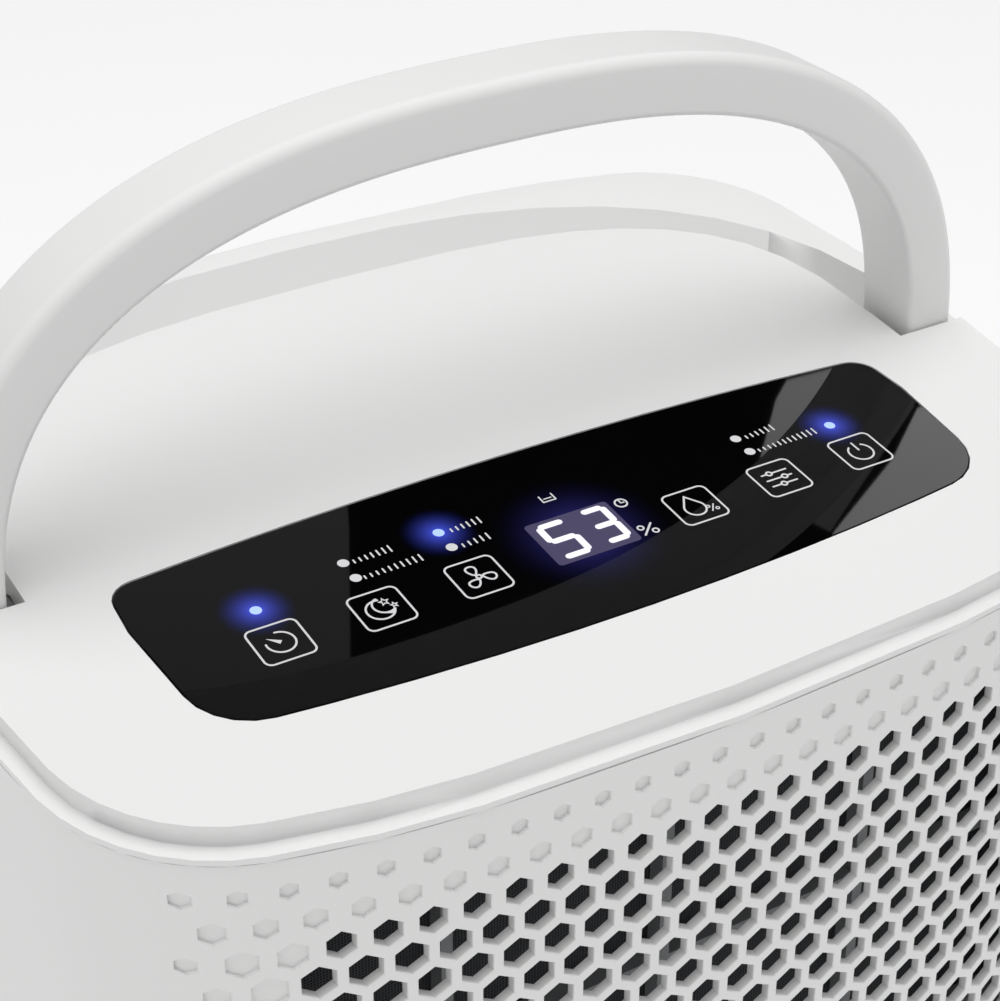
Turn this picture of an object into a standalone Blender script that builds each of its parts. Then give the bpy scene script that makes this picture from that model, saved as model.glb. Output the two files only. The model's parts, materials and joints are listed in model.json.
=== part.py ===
# Portable dehumidifier: a two-shell casing on castors with a fold-down carrying handle, a touch
# panel, a refrigeration circuit, a fan, a slide-out filter and a slide-out water tank.
# Metres, +Z up, front towards -Y. The origin is on the floor under the middle of the casing.

from math import cos, pi, radians, sin, tan

import bmesh
import bpy
from mathutils import Matrix, Vector

# ---------------------------------------------------------------- overall sizes
BODY_WIDTH = 0.298
BODY_DEPTH = 0.2225
BODY_HEIGHT = 0.482              # upper surface of the cover over the origin
TOP_TILT = radians(6.5)          # the whole top rises towards the back
# One quadrant of the plan, from the middle of the front to the middle of the side, as tangent
# arcs (radius, degrees). It is stretched to the half width and half depth.
PLAN_ARCS = ((0.9085, 4.04), (0.2534, 10.29), (0.0462, 64.99), (0.3536, 10.68))

# ---------------------------------------------------------------- walls and clearances
WALL = 0.0025
GAP = 0.0004                     # between neighbours that touch
RUNNING_GAP = 0.0004             # between a pin and its bore, all round
SEAM_OVERHANG = 0.0004           # the cover's rim stands proud of the shells

# ---------------------------------------------------------------- top cover
LEDGE_DROP = 0.005               # step down from the plateau to the ledge round it
PLATEAU_SETBACK = 0.0005         # the plateau stands this far inside the skirt
RIM_THICKNESS = 0.0015
SKIRT_DEPTH = 0.012
SKIRT_WALL = 0.0018
PLATEAU_POWER = 3.0              # superellipse exponent of the plateau's narrow back half
PLATEAU_SIDE_GAP = 0.0037        # from the plateau to the handle's leg
PLATEAU_BACK_GAP = 0.0098        # from the plateau to the folded handle's bow

# ---------------------------------------------------------------- control panel
PANEL_FROM_FRONT = 0.0606        # middle of the touch symbols, from the front of the casing
PANEL_HALF_WIDTH = 0.1076
PANEL_FRONT = 0.0261             # from the symbols' line to the front edge
PANEL_BACK = 0.0381
PANEL_FRONT_BOW = 0.85
PANEL_BACK_BOW = 1.17
PANEL_FRONT_CORNER = 0.016
PANEL_BACK_CORNER = 0.007
GLASS_THICKNESS = 0.0022
GLASS_GAP = 0.0003
BOARD_THICKNESS = 0.0016

# ---------------------------------------------------------------- handle
HANDLE_RIM = 0.0067              # from the casing's side to the handle's outer face
HANDLE_THICKNESS = 0.0152
HANDLE_DEPTH = 0.0203            # front to back while it stands up
HANDLE_POWER = 2.5
PIVOT_Y = -0.0025
HANDLE_REAR_RIM = 0.00945        # from the casing's back to the folded handle
HANDLE_SIDE_GAP = 0.0007
HANDLE_BACK_GAP = 0.002
CHANNEL_FLOOR_GAP = 0.001
PIN_RADIUS = 0.004
PIN_HEAD_RADIUS = 0.0065
PIN_HEAD_LENGTH = 0.0035
PIN_BITE = 0.0115                # length of pin inside the leg

# ---------------------------------------------------------------- base and castors
BASE_Z = 0.036
BASE_THICKNESS = 0.0036
BASE_RIM = 0.016
BASE_RIM_WALL = 0.0025
PAD_HALF_WIDTH = 0.030           # flat pad under the base
PAD_HALF_DEPTH = 0.020
PAD_RISE = 0.001
WHEEL_RADIUS = 0.014
WHEEL_HALF_WIDTH = 0.0055
AXLE_RADIUS = 0.002
CASTOR_TRAIL = 0.009
CASTOR_FROM_SIDE = 0.041
CASTOR_FROM_FRONT = 0.049
STEM_RADIUS = 0.004
STEM_LENGTH = 0.017
FORK_CHEEK = 0.0022

# ---------------------------------------------------------------- chassis, tank and drip tray
SHELF_Z = 0.216                  # underside of the shelf that carries the upper half
SHELF_THICKNESS = 0.0024
BAY_FROM_SIDE = 0.0565           # from the casing's side to the tank bay's inner face
TANK_SIDE_GAP = 0.001
TANK_FRONT_Y = -0.0015
TANK_WALL = 0.0022
TANK_HEADROOM = 0.020            # from the bucket's rim to the shelf
TANK_FACE_RISE = 0.010
GRIP_HALF_WIDTH = 0.032
GRIP_HEIGHT = 0.035
GRIP_DEPTH = 0.013
LID_THICKNESS = 0.0026
DRIP_POINT_Y = 0.030             # where condensate drops into the tank
FLOAT_PIVOT_X = 0.075
FLOAT_PIVOT_DROP = 0.018         # below the tank's rim
FLOAT_PIN_RADIUS = 0.002
TRAY_HEIGHT = 0.0172
TRAY_WALL = 0.002

# ---------------------------------------------------------------- air path
FILTER_FROM_FRONT = 0.0250       # casing front to the filter's front face
FILTER_THICKNESS = 0.005
FILTER_BAR = 0.003
MESH_THICKNESS = 0.0008
EXCHANGER_FROM_SIDE = 0.055
EXCHANGER_DEPTH = 0.022
EXCHANGER_PITCH = 0.028          # evaporator front to condenser front
EXCHANGER_LIFT = 0.0225          # above the shelf's underside
EXCHANGER_HEADROOM = 0.042
TUBE_PAIRS = 5
SHROUD_THICKNESS = 0.0024
SHROUD_RING = 0.0025
SHROUD_LENGTH = 0.036
BLADE_CLEARANCE = 0.003
BLADES = 5
HUB_RADIUS = 0.024
SHAFT_RADIUS = 0.004
MOTOR_RADIUS = 0.034
MOTOR_LENGTH = 0.038

# ---------------------------------------------------------------- refrigeration circuit
COMPRESSOR_RADIUS = 0.042
COMPRESSOR_FOOT_RADIUS = 0.046
COMPRESSOR_X = -0.050
FOOT_HEIGHT = 0.012
PEG_RADIUS = 0.003
PIPE_RADIUS = 0.003
CAPILLARY_RADIUS = 0.0012
ACCUMULATOR_RADIUS = 0.014

# ---------------------------------------------------------------- worked out from the sizes above
HALF_WIDTH = BODY_WIDTH / 2
HALF_DEPTH = BODY_DEPTH / 2
SHELL_INNER = SEAM_OVERHANG + WALL
SKIRT_INSET = SHELL_INNER + GAP
LEDGE_WIDTH = SKIRT_INSET + PLATEAU_SETBACK
HANDLE_HALF_WIDTH = HALF_WIDTH - HANDLE_RIM
HANDLE_REACH = HALF_DEPTH - PIVOT_Y - HANDLE_REAR_RIM
LEG_INNER_X = HANDLE_HALF_WIDTH - HANDLE_THICKNESS
PLATEAU_SIDE_X = LEG_INNER_X - PLATEAU_SIDE_GAP
PLATEAU_REACH = HANDLE_REACH - HANDLE_THICKNESS - PLATEAU_BACK_GAP
CHANNEL_DEPTH = HANDLE_DEPTH + CHANNEL_FLOOR_GAP
SLOT_FRONT_Y = PIVOT_Y - HANDLE_DEPTH / 2 - HANDLE_SIDE_GAP
BASE_TOP = BASE_Z + BASE_THICKNESS
SHELL_BOTTOM = BASE_TOP + GAP
CASTOR_X = HALF_WIDTH - CASTOR_FROM_SIDE
CASTOR_Y = HALF_DEPTH - CASTOR_FROM_FRONT
BAY_HALF = HALF_WIDTH - BAY_FROM_SIDE
TANK_HALF = BAY_HALF - TANK_SIDE_GAP
TANK_BOTTOM = BASE_TOP + 0.0044
TANK_RIM = SHELF_Z - TANK_HEADROOM
TANK_FACE_TOP = TANK_RIM + TANK_FACE_RISE
SHELF_TOP = SHELF_Z + SHELF_THICKNESS
FILTER_Y = -HALF_DEPTH + FILTER_FROM_FRONT
EVAPORATOR_Y = FILTER_Y + FILTER_THICKNESS + 0.00925
CONDENSER_Y = EVAPORATOR_Y + EXCHANGER_PITCH
SHROUD_Y = CONDENSER_Y + EXCHANGER_DEPTH + 0.006
EXCHANGER_HALF = HALF_WIDTH - EXCHANGER_FROM_SIDE
EXCHANGER_BOTTOM = SHELF_Z + EXCHANGER_LIFT
EXCHANGER_TOP = BODY_HEIGHT - EXCHANGER_HEADROOM
FAN_Z = (EXCHANGER_BOTTOM + EXCHANGER_TOP) / 2 + 0.003
FAN_RADIUS = min((EXCHANGER_TOP - EXCHANGER_BOTTOM) / 2 - 0.013, EXCHANGER_HALF - 0.006)
DRAIN_Z = SHELF_TOP + 0.0082
COMPRESSOR_Y = TANK_FRONT_Y - 0.0525
MOTOR_Y = SHROUD_Y + 0.042


def cover_height(y, depth=0.0):
    """Height of the tilted top at y, or of a parallel surface a given depth below it."""
    return BODY_HEIGHT + y * tan(TOP_TILT) - depth / cos(TOP_TILT)


def level(z):
    return lambda y: z


def under_cover(depth):
    return lambda y: cover_height(y, depth)


PIVOT_Z = cover_height(PIVOT_Y, HANDLE_DEPTH / 2)
PANEL_Y = -HALF_DEPTH + PANEL_FROM_FRONT
PANEL_FRAME = Matrix.Translation((0, PANEL_Y, cover_height(PANEL_Y))) @ Matrix.Rotation(TOP_TILT, 4, "X")

# ---------------------------------------------------------------- scene and materials
for old in list(bpy.data.objects):
    bpy.data.objects.remove(old, do_unlink=True)
PARTS = bpy.data.collections.new("dehumidifier")
TOOLS = bpy.data.collections.new("cutters")
bpy.context.scene.collection.children.link(PARTS)
bpy.context.scene.collection.children.link(TOOLS)

FINISHES = {
    "white_abs": ((0.87, 0.87, 0.86), 0.45, 0.0),
    "black_glass": ((0.004, 0.004, 0.005), 0.05, 0.0),
    "black_plastic": ((0.02, 0.02, 0.022), 0.5, 0.0),
    "grey_plastic": ((0.30, 0.31, 0.32), 0.5, 0.0),
    "dark_grey_plastic": ((0.09, 0.09, 0.10), 0.55, 0.0),
    "clear_tank": ((0.55, 0.60, 0.64), 0.2, 0.0),
    "steel": ((0.55, 0.55, 0.56), 0.35, 1.0),
    "compressor_black": ((0.015, 0.015, 0.017), 0.45, 0.0),
    "copper": ((0.75, 0.38, 0.24), 0.3, 1.0),
    "aluminium": ((0.78, 0.79, 0.80), 0.35, 1.0),
    "rubber": ((0.03, 0.03, 0.03), 0.85, 0.0),
    "green_board": ((0.02, 0.16, 0.07), 0.5, 0.0),
    "filter_net": ((0.12, 0.13, 0.15), 0.8, 0.0),
}


def material(finish):
    if finish in bpy.data.materials:
        return bpy.data.materials[finish]
    colour, roughness, metallic = FINISHES[finish]
    made = bpy.data.materials.new(finish)
    made.use_nodes = True
    shader = made.node_tree.nodes["Principled BSDF"]
    shader.inputs["Base Color"].default_value = (*colour, 1.0)
    shader.inputs["Roughness"].default_value = roughness
    shader.inputs["Metallic"].default_value = metallic
    return made


# ---------------------------------------------------------------- shape helpers
def tool(name, data):
    """A helper object that is only cut with or joined to another."""
    made = bpy.data.objects.new(name, data)
    made.hide_render = True
    made.display_type = "WIRE"
    TOOLS.objects.link(made)
    return made


def from_bmesh(name, shape):
    bmesh.ops.recalc_face_normals(shape, faces=shape.faces)
    mesh = bpy.data.meshes.new(name)
    shape.to_mesh(mesh)
    shape.free()
    return tool(name, mesh)


def publish(made, node, finish):
    """Turn a helper object into a sub-part with its node name and material."""
    TOOLS.objects.unlink(made)
    PARTS.objects.link(made)
    made.name = node
    made.hide_render = False
    made.display_type = "TEXTURED"
    made.data.materials.clear()
    made.data.materials.append(material(finish))
    return made


def set_origin(made, point):
    made.data.transform(Matrix.Translation(-Vector(point)))
    made.location = point
    return made


def combine(body, other, operation):
    modifier = body.modifiers.new(f"{operation.lower()} {other.name}", "BOOLEAN")
    modifier.object = other
    modifier.operation = operation
    modifier.solver = "EXACT"
    return body


def cut(body, *others):
    for other in others:
        combine(body, other, "DIFFERENCE")
    return body


def join(body, *others):
    for other in others:
        combine(body, other, "UNION")
    return body


def keep_inside(body, other):
    return combine(body, other, "INTERSECT")


def baked_mesh(made):
    """The mesh of an object with its modifiers applied; the object itself is removed."""
    depsgraph = bpy.context.evaluated_depsgraph_get()
    mesh = bpy.data.meshes.new_from_object(made.evaluated_get(depsgraph))
    bpy.data.objects.remove(made, do_unlink=True)
    return mesh


def prism(name, loop, bottom, top):
    """Upright solid on a plan outline; bottom and top give a height for each y."""
    shape = bmesh.new()
    base = shape.faces.new([shape.verts.new((x, y, 0.0)) for x, y in loop])
    lower = list(base.verts)
    grown = bmesh.ops.extrude_face_region(shape, geom=[base])["geom"]
    upper = [item for item in grown if isinstance(item, bmesh.types.BMVert)]
    for corner in lower:
        corner.co.z = bottom(corner.co.y)
    for corner in upper:
        corner.co.z = top(corner.co.y)
    return from_bmesh(name, shape)


def add_box(shape, x, y, z):
    """Add a box to a bmesh from its three (low, high) ranges."""
    corners = bmesh.ops.create_cube(shape, size=1.0)["verts"]
    size = Matrix.Diagonal((x[1] - x[0], y[1] - y[0], z[1] - z[0], 1.0))
    middle = Matrix.Translation(((x[0] + x[1]) / 2, (y[0] + y[1]) / 2, (z[0] + z[1]) / 2))
    bmesh.ops.transform(shape, matrix=middle @ size, verts=corners)


def box(name, x, y, z):
    shape = bmesh.new()
    add_box(shape, x, y, z)
    return from_bmesh(name, shape)


AXIS_TURN = {"X": Matrix.Rotation(pi / 2, 4, "Y"), "Y": Matrix.Rotation(-pi / 2, 4, "X"), "Z": Matrix.Identity(4)}


def add_cylinder(shape, start, radius, length, axis="Z", segments=20):
    """Add a cylinder that runs from start along the positive axis."""
    corners = bmesh.ops.create_cone(
        shape, cap_ends=True, segments=segments, radius1=radius, radius2=radius, depth=length
    )["verts"]
    place = Matrix.Translation(start) @ AXIS_TURN[axis] @ Matrix.Translation((0, 0, length / 2))
    bmesh.ops.transform(shape, matrix=place, verts=corners)


def cylinder(name, start, radius, length, axis="Z", segments=20):
    shape = bmesh.new()
    add_cylinder(shape, start, radius, length, axis, segments)
    return from_bmesh(name, shape)


def turned(name, profile, steps=24, closed=False):
    """Turn (radius, height) points about Z; they run from the top down the outer side."""
    mesh = bpy.data.meshes.new(name)
    edges = [(index, index + 1) for index in range(len(profile) - 1)]
    if closed:
        edges.append((len(profile) - 1, 0))
    mesh.from_pydata([(radius, 0.0, height) for radius, height in profile], edges, [])
    made = tool(name, mesh)
    screw = made.modifiers.new("turn", "SCREW")
    screw.steps = steps
    screw.render_steps = steps
    screw.use_merge_vertices = True
    screw.merge_threshold = 0.00001
    return made


def smooth_route(points, spacing):
    """Points along a Catmull-Rom curve through a route, about one for each spacing."""
    route = [Vector(point) for point in points]
    ends = [route[0] * 2 - route[1]] + route + [route[-1] * 2 - route[-2]]
    result = [route[0]]
    for a, b, c, d in zip(ends, ends[1:], ends[2:], ends[3:]):
        steps = max(1, round((c - b).length / spacing))
        for step in range(1, steps + 1):
            t = step / steps
            result.append(
                0.5 * (2 * b + (c - a) * t + (2 * a - 5 * b + 4 * c - d) * t**2 + (3 * b - a - 3 * c + d) * t**3)
            )
    return result


def pipe(name, points, radius, spacing):
    curve = bpy.data.curves.new(name, "CURVE")
    curve.dimensions = "3D"
    curve.bevel_depth = radius
    curve.bevel_resolution = 2
    curve.use_fill_caps = True
    path = smooth_route(points, spacing)
    spline = curve.splines.new("POLY")
    spline.points.add(len(path) - 1)
    for target, point in zip(spline.points, path):
        target.co = (*point, 1.0)
    return tool(name, curve)


# ---------------------------------------------------------------- outlines
def offset(loop, distance):
    """Move a counter-clockwise loop outwards by a distance, with mitred corners."""
    moved = []
    for before, here, after in zip(loop[-1:] + loop[:-1], loop, loop[1:] + loop[:1]):
        arriving = (Vector(here) - Vector(before)).normalized()
        leaving = (Vector(after) - Vector(here)).normalized()
        normal = Vector((arriving.y + leaving.y, -arriving.x - leaving.x)).normalized()
        reach = distance / normal.dot(Vector((arriving.y, -arriving.x)))
        moved.append(tuple(Vector(here) + normal * reach))
    return moved


def quadrant():
    """The front right quarter of the plan, from the middle of the front to the middle of the side."""
    x, y, heading = 0.0, 0.0, 0.0
    points = [(x, y)]
    for radius, degrees in PLAN_ARCS:
        steps = 1 + round(degrees / 11)
        turn = radians(degrees) / steps
        for _ in range(steps):
            x += radius * (sin(heading + turn) - sin(heading))
            y += radius * (cos(heading) - cos(heading + turn))
            heading += turn
            points.append((x, y))
    return [(px * HALF_WIDTH / x, py * HALF_DEPTH / y - HALF_DEPTH) for px, py in points]


def plan(inset=0.0):
    """The casing's outline, counter-clockwise from the middle of the front, moved inwards by inset."""
    quarter = quadrant()
    right = quarter + [(x, -y) for x, y in reversed(quarter[:-1])]
    return offset(right + [(-x, y) for x, y in reversed(right[1:-1])], -inset)


def plan_at(values, inset, by_y):
    """Half width of the inset plan at a given y, or its half depth at a given x."""
    half = [(abs(x), y) for x, y in plan(inset)[: len(quadrant())]]
    for (x0, y0), (x1, y1) in zip(half, half[1:]):
        start, end = (y0, y1) if by_y else (x0, x1)
        if start <= values <= end:
            share = (values - start) / (end - start)
            return x0 + (x1 - x0) * share if by_y else -(y0 + (y1 - y0) * share)
    return half[-1][0] if by_y else 0.0


def half_width_at(y, inset=0.0):
    return plan_at(-abs(y), inset, True)


def half_depth_at(x, inset=0.0):
    return plan_at(abs(x), inset, False)


def bow(half_width, reach, power, count=20):
    """A half superellipse from +X over +Y to -X, centred on the handle's pivot line."""
    points = []
    for index in range(count + 1):
        angle = pi * index / count
        across = abs(cos(angle)) ** (2 / power) * (1 if angle < pi / 2 else -1)
        along = abs(sin(angle)) ** (2 / power)
        points.append((half_width * across, reach * along))
    points[-1] = (-half_width, 0.0)
    return points


def moved_back(points):
    return [(x, y + PIVOT_Y) for x, y in points]


def plateau_loop(inset=0.0):
    """Outline of the raised top: full width in front of the handle, narrow behind it."""
    front = plan(LEDGE_WIDTH + inset)
    slot = SLOT_FRONT_Y - inset
    edge = half_width_at(slot, LEDGE_WIDTH + inset)
    right = [(x, y) for x, y in front if y < slot - 0.002 and x >= 0]
    left = [(x, y) for x, y in front if y < slot - 0.002 and x < 0]
    back = moved_back(bow(PLATEAU_SIDE_X - inset, PLATEAU_REACH - inset, PLATEAU_POWER))
    side = PLATEAU_SIDE_X - inset
    return right + [(edge, slot), (side, slot)] + back + [(-side, slot), (-edge, slot)] + left


def channel_loop(grow_side=0.0, grow=0.0):
    """Outline of the channel that the folded handle lies in, with its two leg pockets."""
    outer_x = HANDLE_HALF_WIDTH + HANDLE_SIDE_GAP + grow_side
    inner_x = PLATEAU_SIDE_X - grow
    outer = moved_back(bow(outer_x, HANDLE_REACH + HANDLE_BACK_GAP + grow, HANDLE_POWER))
    inner = moved_back(bow(inner_x, PLATEAU_REACH - grow, PLATEAU_POWER))
    slot = SLOT_FRONT_Y - grow
    return [(outer_x, slot)] + outer + [(-outer_x, slot), (-inner_x, slot)] + inner[::-1] + [(inner_x, slot)]


def rounded(corners, count=5):
    """A loop from (x, y, radius) corners, each rounded by an arc with a number of steps."""
    loop = []
    for before, here, after in zip(corners[-1:] + corners[:-1], corners, corners[1:] + corners[:1]):
        point = Vector(here[:2])
        if here[2] == 0:
            loop.append(tuple(point))
            continue
        back = (Vector(before[:2]) - point).normalized()
        ahead = (Vector(after[:2]) - point).normalized()
        half = back.angle(ahead) / 2
        centre = point + (back + ahead).normalized() * here[2] / sin(half)
        start = point + back * here[2] / tan(half) - centre
        end = point + ahead * here[2] / tan(half) - centre
        for index in range(count + 1):
            direction = start.normalized().slerp(end.normalized(), index / count)
            loop.append(tuple(centre + direction * here[2]))
    return loop


def panel_loop(grow=0.0):
    """The glass panel in its own plane: bowed front and back edges, barrelled sides, round corners."""
    front_x = PANEL_HALF_WIDTH - 0.0028
    back_x = PANEL_HALF_WIDTH - 0.0012
    front = [(x / 100, -PANEL_FRONT + (x / 100) ** 2 / (2 * PANEL_FRONT_BOW), 0) for x in range(-8, 9, 2)]
    back = [(x / 100, PANEL_BACK - (x / 100) ** 2 / (2 * PANEL_BACK_BOW), 0) for x in range(8, -9, -2)]
    front_y = -PANEL_FRONT + front_x**2 / (2 * PANEL_FRONT_BOW)
    back_y = PANEL_BACK - back_x**2 / (2 * PANEL_BACK_BOW)
    widest_y = back_y - 0.0155
    right = [(front_x, front_y, PANEL_FRONT_CORNER), (PANEL_HALF_WIDTH, widest_y, 0), (back_x, back_y, PANEL_BACK_CORNER)]
    left = [(-x, y, radius) for x, y, radius in reversed(right)]
    return offset(rounded(front + right + back + left), grow)


def panel_prism(name, grow, low, high):
    made = prism(name, panel_loop(grow), level(low), level(high))
    made.matrix_world = PANEL_FRAME
    return made


def panel_box(name, x, y, z):
    made = box(name, x, y, z)
    made.matrix_world = PANEL_FRAME
    return made


# ---------------------------------------------------------------- screws and their places
SCREW_RADIUS = 0.0016
SCREW_HEAD_RADIUS = 0.0035
SCREW_HEAD = 0.0016
SCREW_LENGTH = 0.016
BOSS_RADIUS = 0.005
WELL_RADIUS = 0.0042
WELL_BOSS_RADIUS = 0.0065
FRONT_SCREW = (PANEL_HALF_WIDTH - 0.0096, PANEL_Y + 0.0155)
REAR_SCREW_X = 0.060
REAR_SCREW_Y = PIVOT_Y + HANDLE_REACH - HANDLE_THICKNESS + 0.0015


def screw_places():
    """Name, x, y and seat height of each cover screw: two under the glass, two in the channel."""
    front_seat = cover_height(FRONT_SCREW[1], GLASS_THICKNESS + 0.004)
    rear_seat = cover_height(REAR_SCREW_Y, CHANNEL_DEPTH + 0.004)
    return (
        ("front_left", -FRONT_SCREW[0], FRONT_SCREW[1], front_seat),
        ("front_right", FRONT_SCREW[0], FRONT_SCREW[1], front_seat),
        ("rear_left", -REAR_SCREW_X, REAR_SCREW_Y, rear_seat),
        ("rear_right", REAR_SCREW_X, REAR_SCREW_Y, rear_seat),
    )


BOSS_UNDER_SEAT = 0.003          # plastic under the screw's head


def make_cover_screws():
    for place, x, y, seat in screw_places():
        head_z = seat + GAP
        profile = [
            (0, SCREW_HEAD), (SCREW_HEAD_RADIUS, SCREW_HEAD), (SCREW_HEAD_RADIUS, 0),
            (SCREW_RADIUS, 0), (SCREW_RADIUS, -SCREW_LENGTH), (0, -SCREW_LENGTH),
        ]
        screw = turned(f"cover_screw_{place}", profile, steps=10)
        screw.location = (x, y, head_z)
        publish(screw, f"cover_screw_{place}", "steel")


def shell_boss(shell, x, y, seat, wall_point):
    """A screw boss under the cover, tied to the shell's wall by a rib."""
    top = seat - BOSS_UNDER_SEAT - GAP
    bottom = top - 0.022
    boss = cylinder(f"boss {x:.3f} {y:.3f}", (x, y, bottom), BOSS_RADIUS, top - bottom, segments=16)
    across = sorted((x, wall_point[0]))
    along = sorted((y, wall_point[1]))
    half = 0.0012
    rib_x = (across[0] - half, across[1] + half) if across[1] - across[0] < 0.001 else tuple(across)
    rib_y = (along[0] - half, along[1] + half) if along[1] - along[0] < 0.001 else tuple(along)
    rib = box(f"rib {x:.3f} {y:.3f}", rib_x, rib_y, (bottom, top - 0.010))
    pilot = cylinder(f"pilot {x:.3f} {y:.3f}", (x, y, bottom + 0.003), SCREW_RADIUS + GAP, 0.030, segments=12)
    join(shell, boss, rib)
    return cut(shell, pilot)


# ---------------------------------------------------------------- casing
def make_top_cover():
    cover = prism("top_cover", plan(), under_cover(LEDGE_DROP + RIM_THICKNESS), under_cover(LEDGE_DROP))
    skirt = prism("skirt", plan(SKIRT_INSET), under_cover(SKIRT_DEPTH), under_cover(LEDGE_DROP + 0.0003))
    plateau = prism("plateau", plateau_loop(), under_cover(LEDGE_DROP + 0.001), under_cover(0))
    join(cover, skirt, plateau)
    deep = under_cover(SKIRT_DEPTH + 0.01)
    skirt_inside = plan(SKIRT_INSET + SKIRT_WALL)
    cut(
        cover,
        prism("skirt hollow", skirt_inside, deep, under_cover(LEDGE_DROP + WALL)),
        prism("plateau hollow", plateau_loop(WALL), deep, under_cover(WALL)),
    )
    side_wall = half_width_at(0, SKIRT_INSET) - HANDLE_HALF_WIDTH - HANDLE_SIDE_GAP
    tub_floor = under_cover(CHANNEL_DEPTH + WALL)
    tub = prism("channel tub", channel_loop(side_wall, WALL), tub_floor, under_cover(LEDGE_DROP + 0.001))
    keep_inside(tub, prism("tub limit", plan(SKIRT_INSET), level(0), level(BODY_HEIGHT + 0.1)))
    floor_bottom = -GLASS_THICKNESS - GAP - WALL
    join(cover, tub, panel_prism("panel floor", 0.004, floor_bottom, -0.001))
    cut(
        cover,
        prism("channel", channel_loop(), under_cover(CHANNEL_DEPTH), under_cover(-0.01)),
        panel_prism("panel recess", GLASS_GAP, -GLASS_THICKNESS - GAP, 0.002),
        panel_box("display window", (-0.0275, 0.0335), (-0.0125, 0.0225), (-0.02, 0)),
    )
    for side in (-1, 1):
        start = (min(side * 0.110, side * LEG_INNER_X), PIVOT_Y, PIVOT_Z)
        bore = cylinder(f"pin bore {side}", start, PIN_RADIUS + RUNNING_GAP, LEG_INNER_X - 0.110, "X")
        cut(cover, bore)
    for place, x, y, seat in screw_places():
        bottom = seat - BOSS_UNDER_SEAT
        join(cover, cylinder(f"well boss {place}", (x, y, bottom), WELL_BOSS_RADIUS, 0.0045, segments=16))
        cut(
            cover,
            cylinder(f"well {place}", (x, y, seat), WELL_RADIUS, 0.02, segments=16),
            cylinder(f"screw hole {place}", (x, y, seat - 0.02), SCREW_RADIUS + GAP, 0.03, segments=12),
        )
    publish(cover, "top_cover", "white_abs")


def shell_ring(name):
    top = under_cover(LEDGE_DROP + RIM_THICKNESS + GAP)
    ring = prism(name, plan(SEAM_OVERHANG), level(SHELL_BOTTOM), top)
    return cut(ring, prism(f"{name} inside", plan(SHELL_INNER), level(0.0), level(BODY_HEIGHT + 0.1)))


GRILLE_PITCH = 0.047
GRILLE_HOLE = 0.0200             # corner radius of a hexagonal opening
GRILLE_BOTTOM = 0.150


def grille_cutter():
    """Hexagonal openings in staggered rows, all cut straight back along Y."""
    shape = bmesh.new()
    row_pitch = GRILLE_PITCH * cos(radians(30))
    rows = int((BODY_HEIGHT - 0.042 - GRILLE_BOTTOM) / row_pitch)
    reach = half_width_at(-HALF_DEPTH + 0.018) - GRILLE_HOLE
    for row in range(rows):
        shift = GRILLE_PITCH / 2 if row % 2 else 0.0
        count = int((reach - shift) / GRILLE_PITCH)
        columns = [shift + GRILLE_PITCH * index for index in range(count + 1)]
        for x in sorted({round(side * value, 6) for value in columns for side in (-1, 1)}):
            z = BODY_HEIGHT - 0.042 - GRILLE_HOLE - row * row_pitch
            start = (x, -HALF_DEPTH - 0.01, z)
            add_cylinder(shape, start, GRILLE_HOLE, 0.036, "Y", segments=6)
    return from_bmesh("grille", shape)


def make_front_shell():
    shell = shell_ring("front_shell")
    cut(shell, box("rear half", (-0.3, 0.3), (-GAP / 2, 0.3), (0, 0.7)), grille_cutter())
    rail_loop = plan(SHELL_INNER - 0.0005)
    filter_low = EXCHANGER_BOTTOM + 0.006
    filter_high = EXCHANGER_TOP
    for name, low, high in (
        ("lower rail", filter_low - GAP - 0.003, filter_low - GAP),
        ("upper rail", filter_high + GAP, filter_high + GAP + 0.0025),
    ):
        rail = prism(name, rail_loop, level(low), level(high))
        keep_inside(rail, box(f"{name} reach", (-0.3, 0.3), (-0.3, FILTER_Y + FILTER_THICKNESS), (0, 0.7)))
        join(shell, rail)
    slot = box(
        "filter slot", (EXCHANGER_HALF + 0.02, 0.3), (FILTER_Y - GAP, FILTER_Y + 0.0078 + GAP),
        (filter_low - GAP, filter_high + GAP),
    )
    cut(shell, slot)
    for place, x, y, seat in screw_places()[:2]:
        wall_x = (half_width_at(y, SHELL_INNER) + 0.001) * (1 if x > 0 else -1)
        shell_boss(shell, x, y, seat, (wall_x, y))
    publish(shell, "front_shell", "white_abs")


EXHAUST_HALF = 0.078
EXHAUST_SLOT = 0.011
EXHAUST_PITCH = 0.019
EXHAUST_BAR = 0.006
DRAIN_CUP_RADIUS = 0.014
DRAIN_CUP_DEPTH = 0.0245
DRAIN_CUP_Y = HALF_DEPTH - DRAIN_CUP_DEPTH
NOZZLE_RADIUS = 0.006
GLAND_RADIUS = 0.006
GLAND_X = -(BAY_HALF + 0.0115)
GLAND_Z = 0.078


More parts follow.
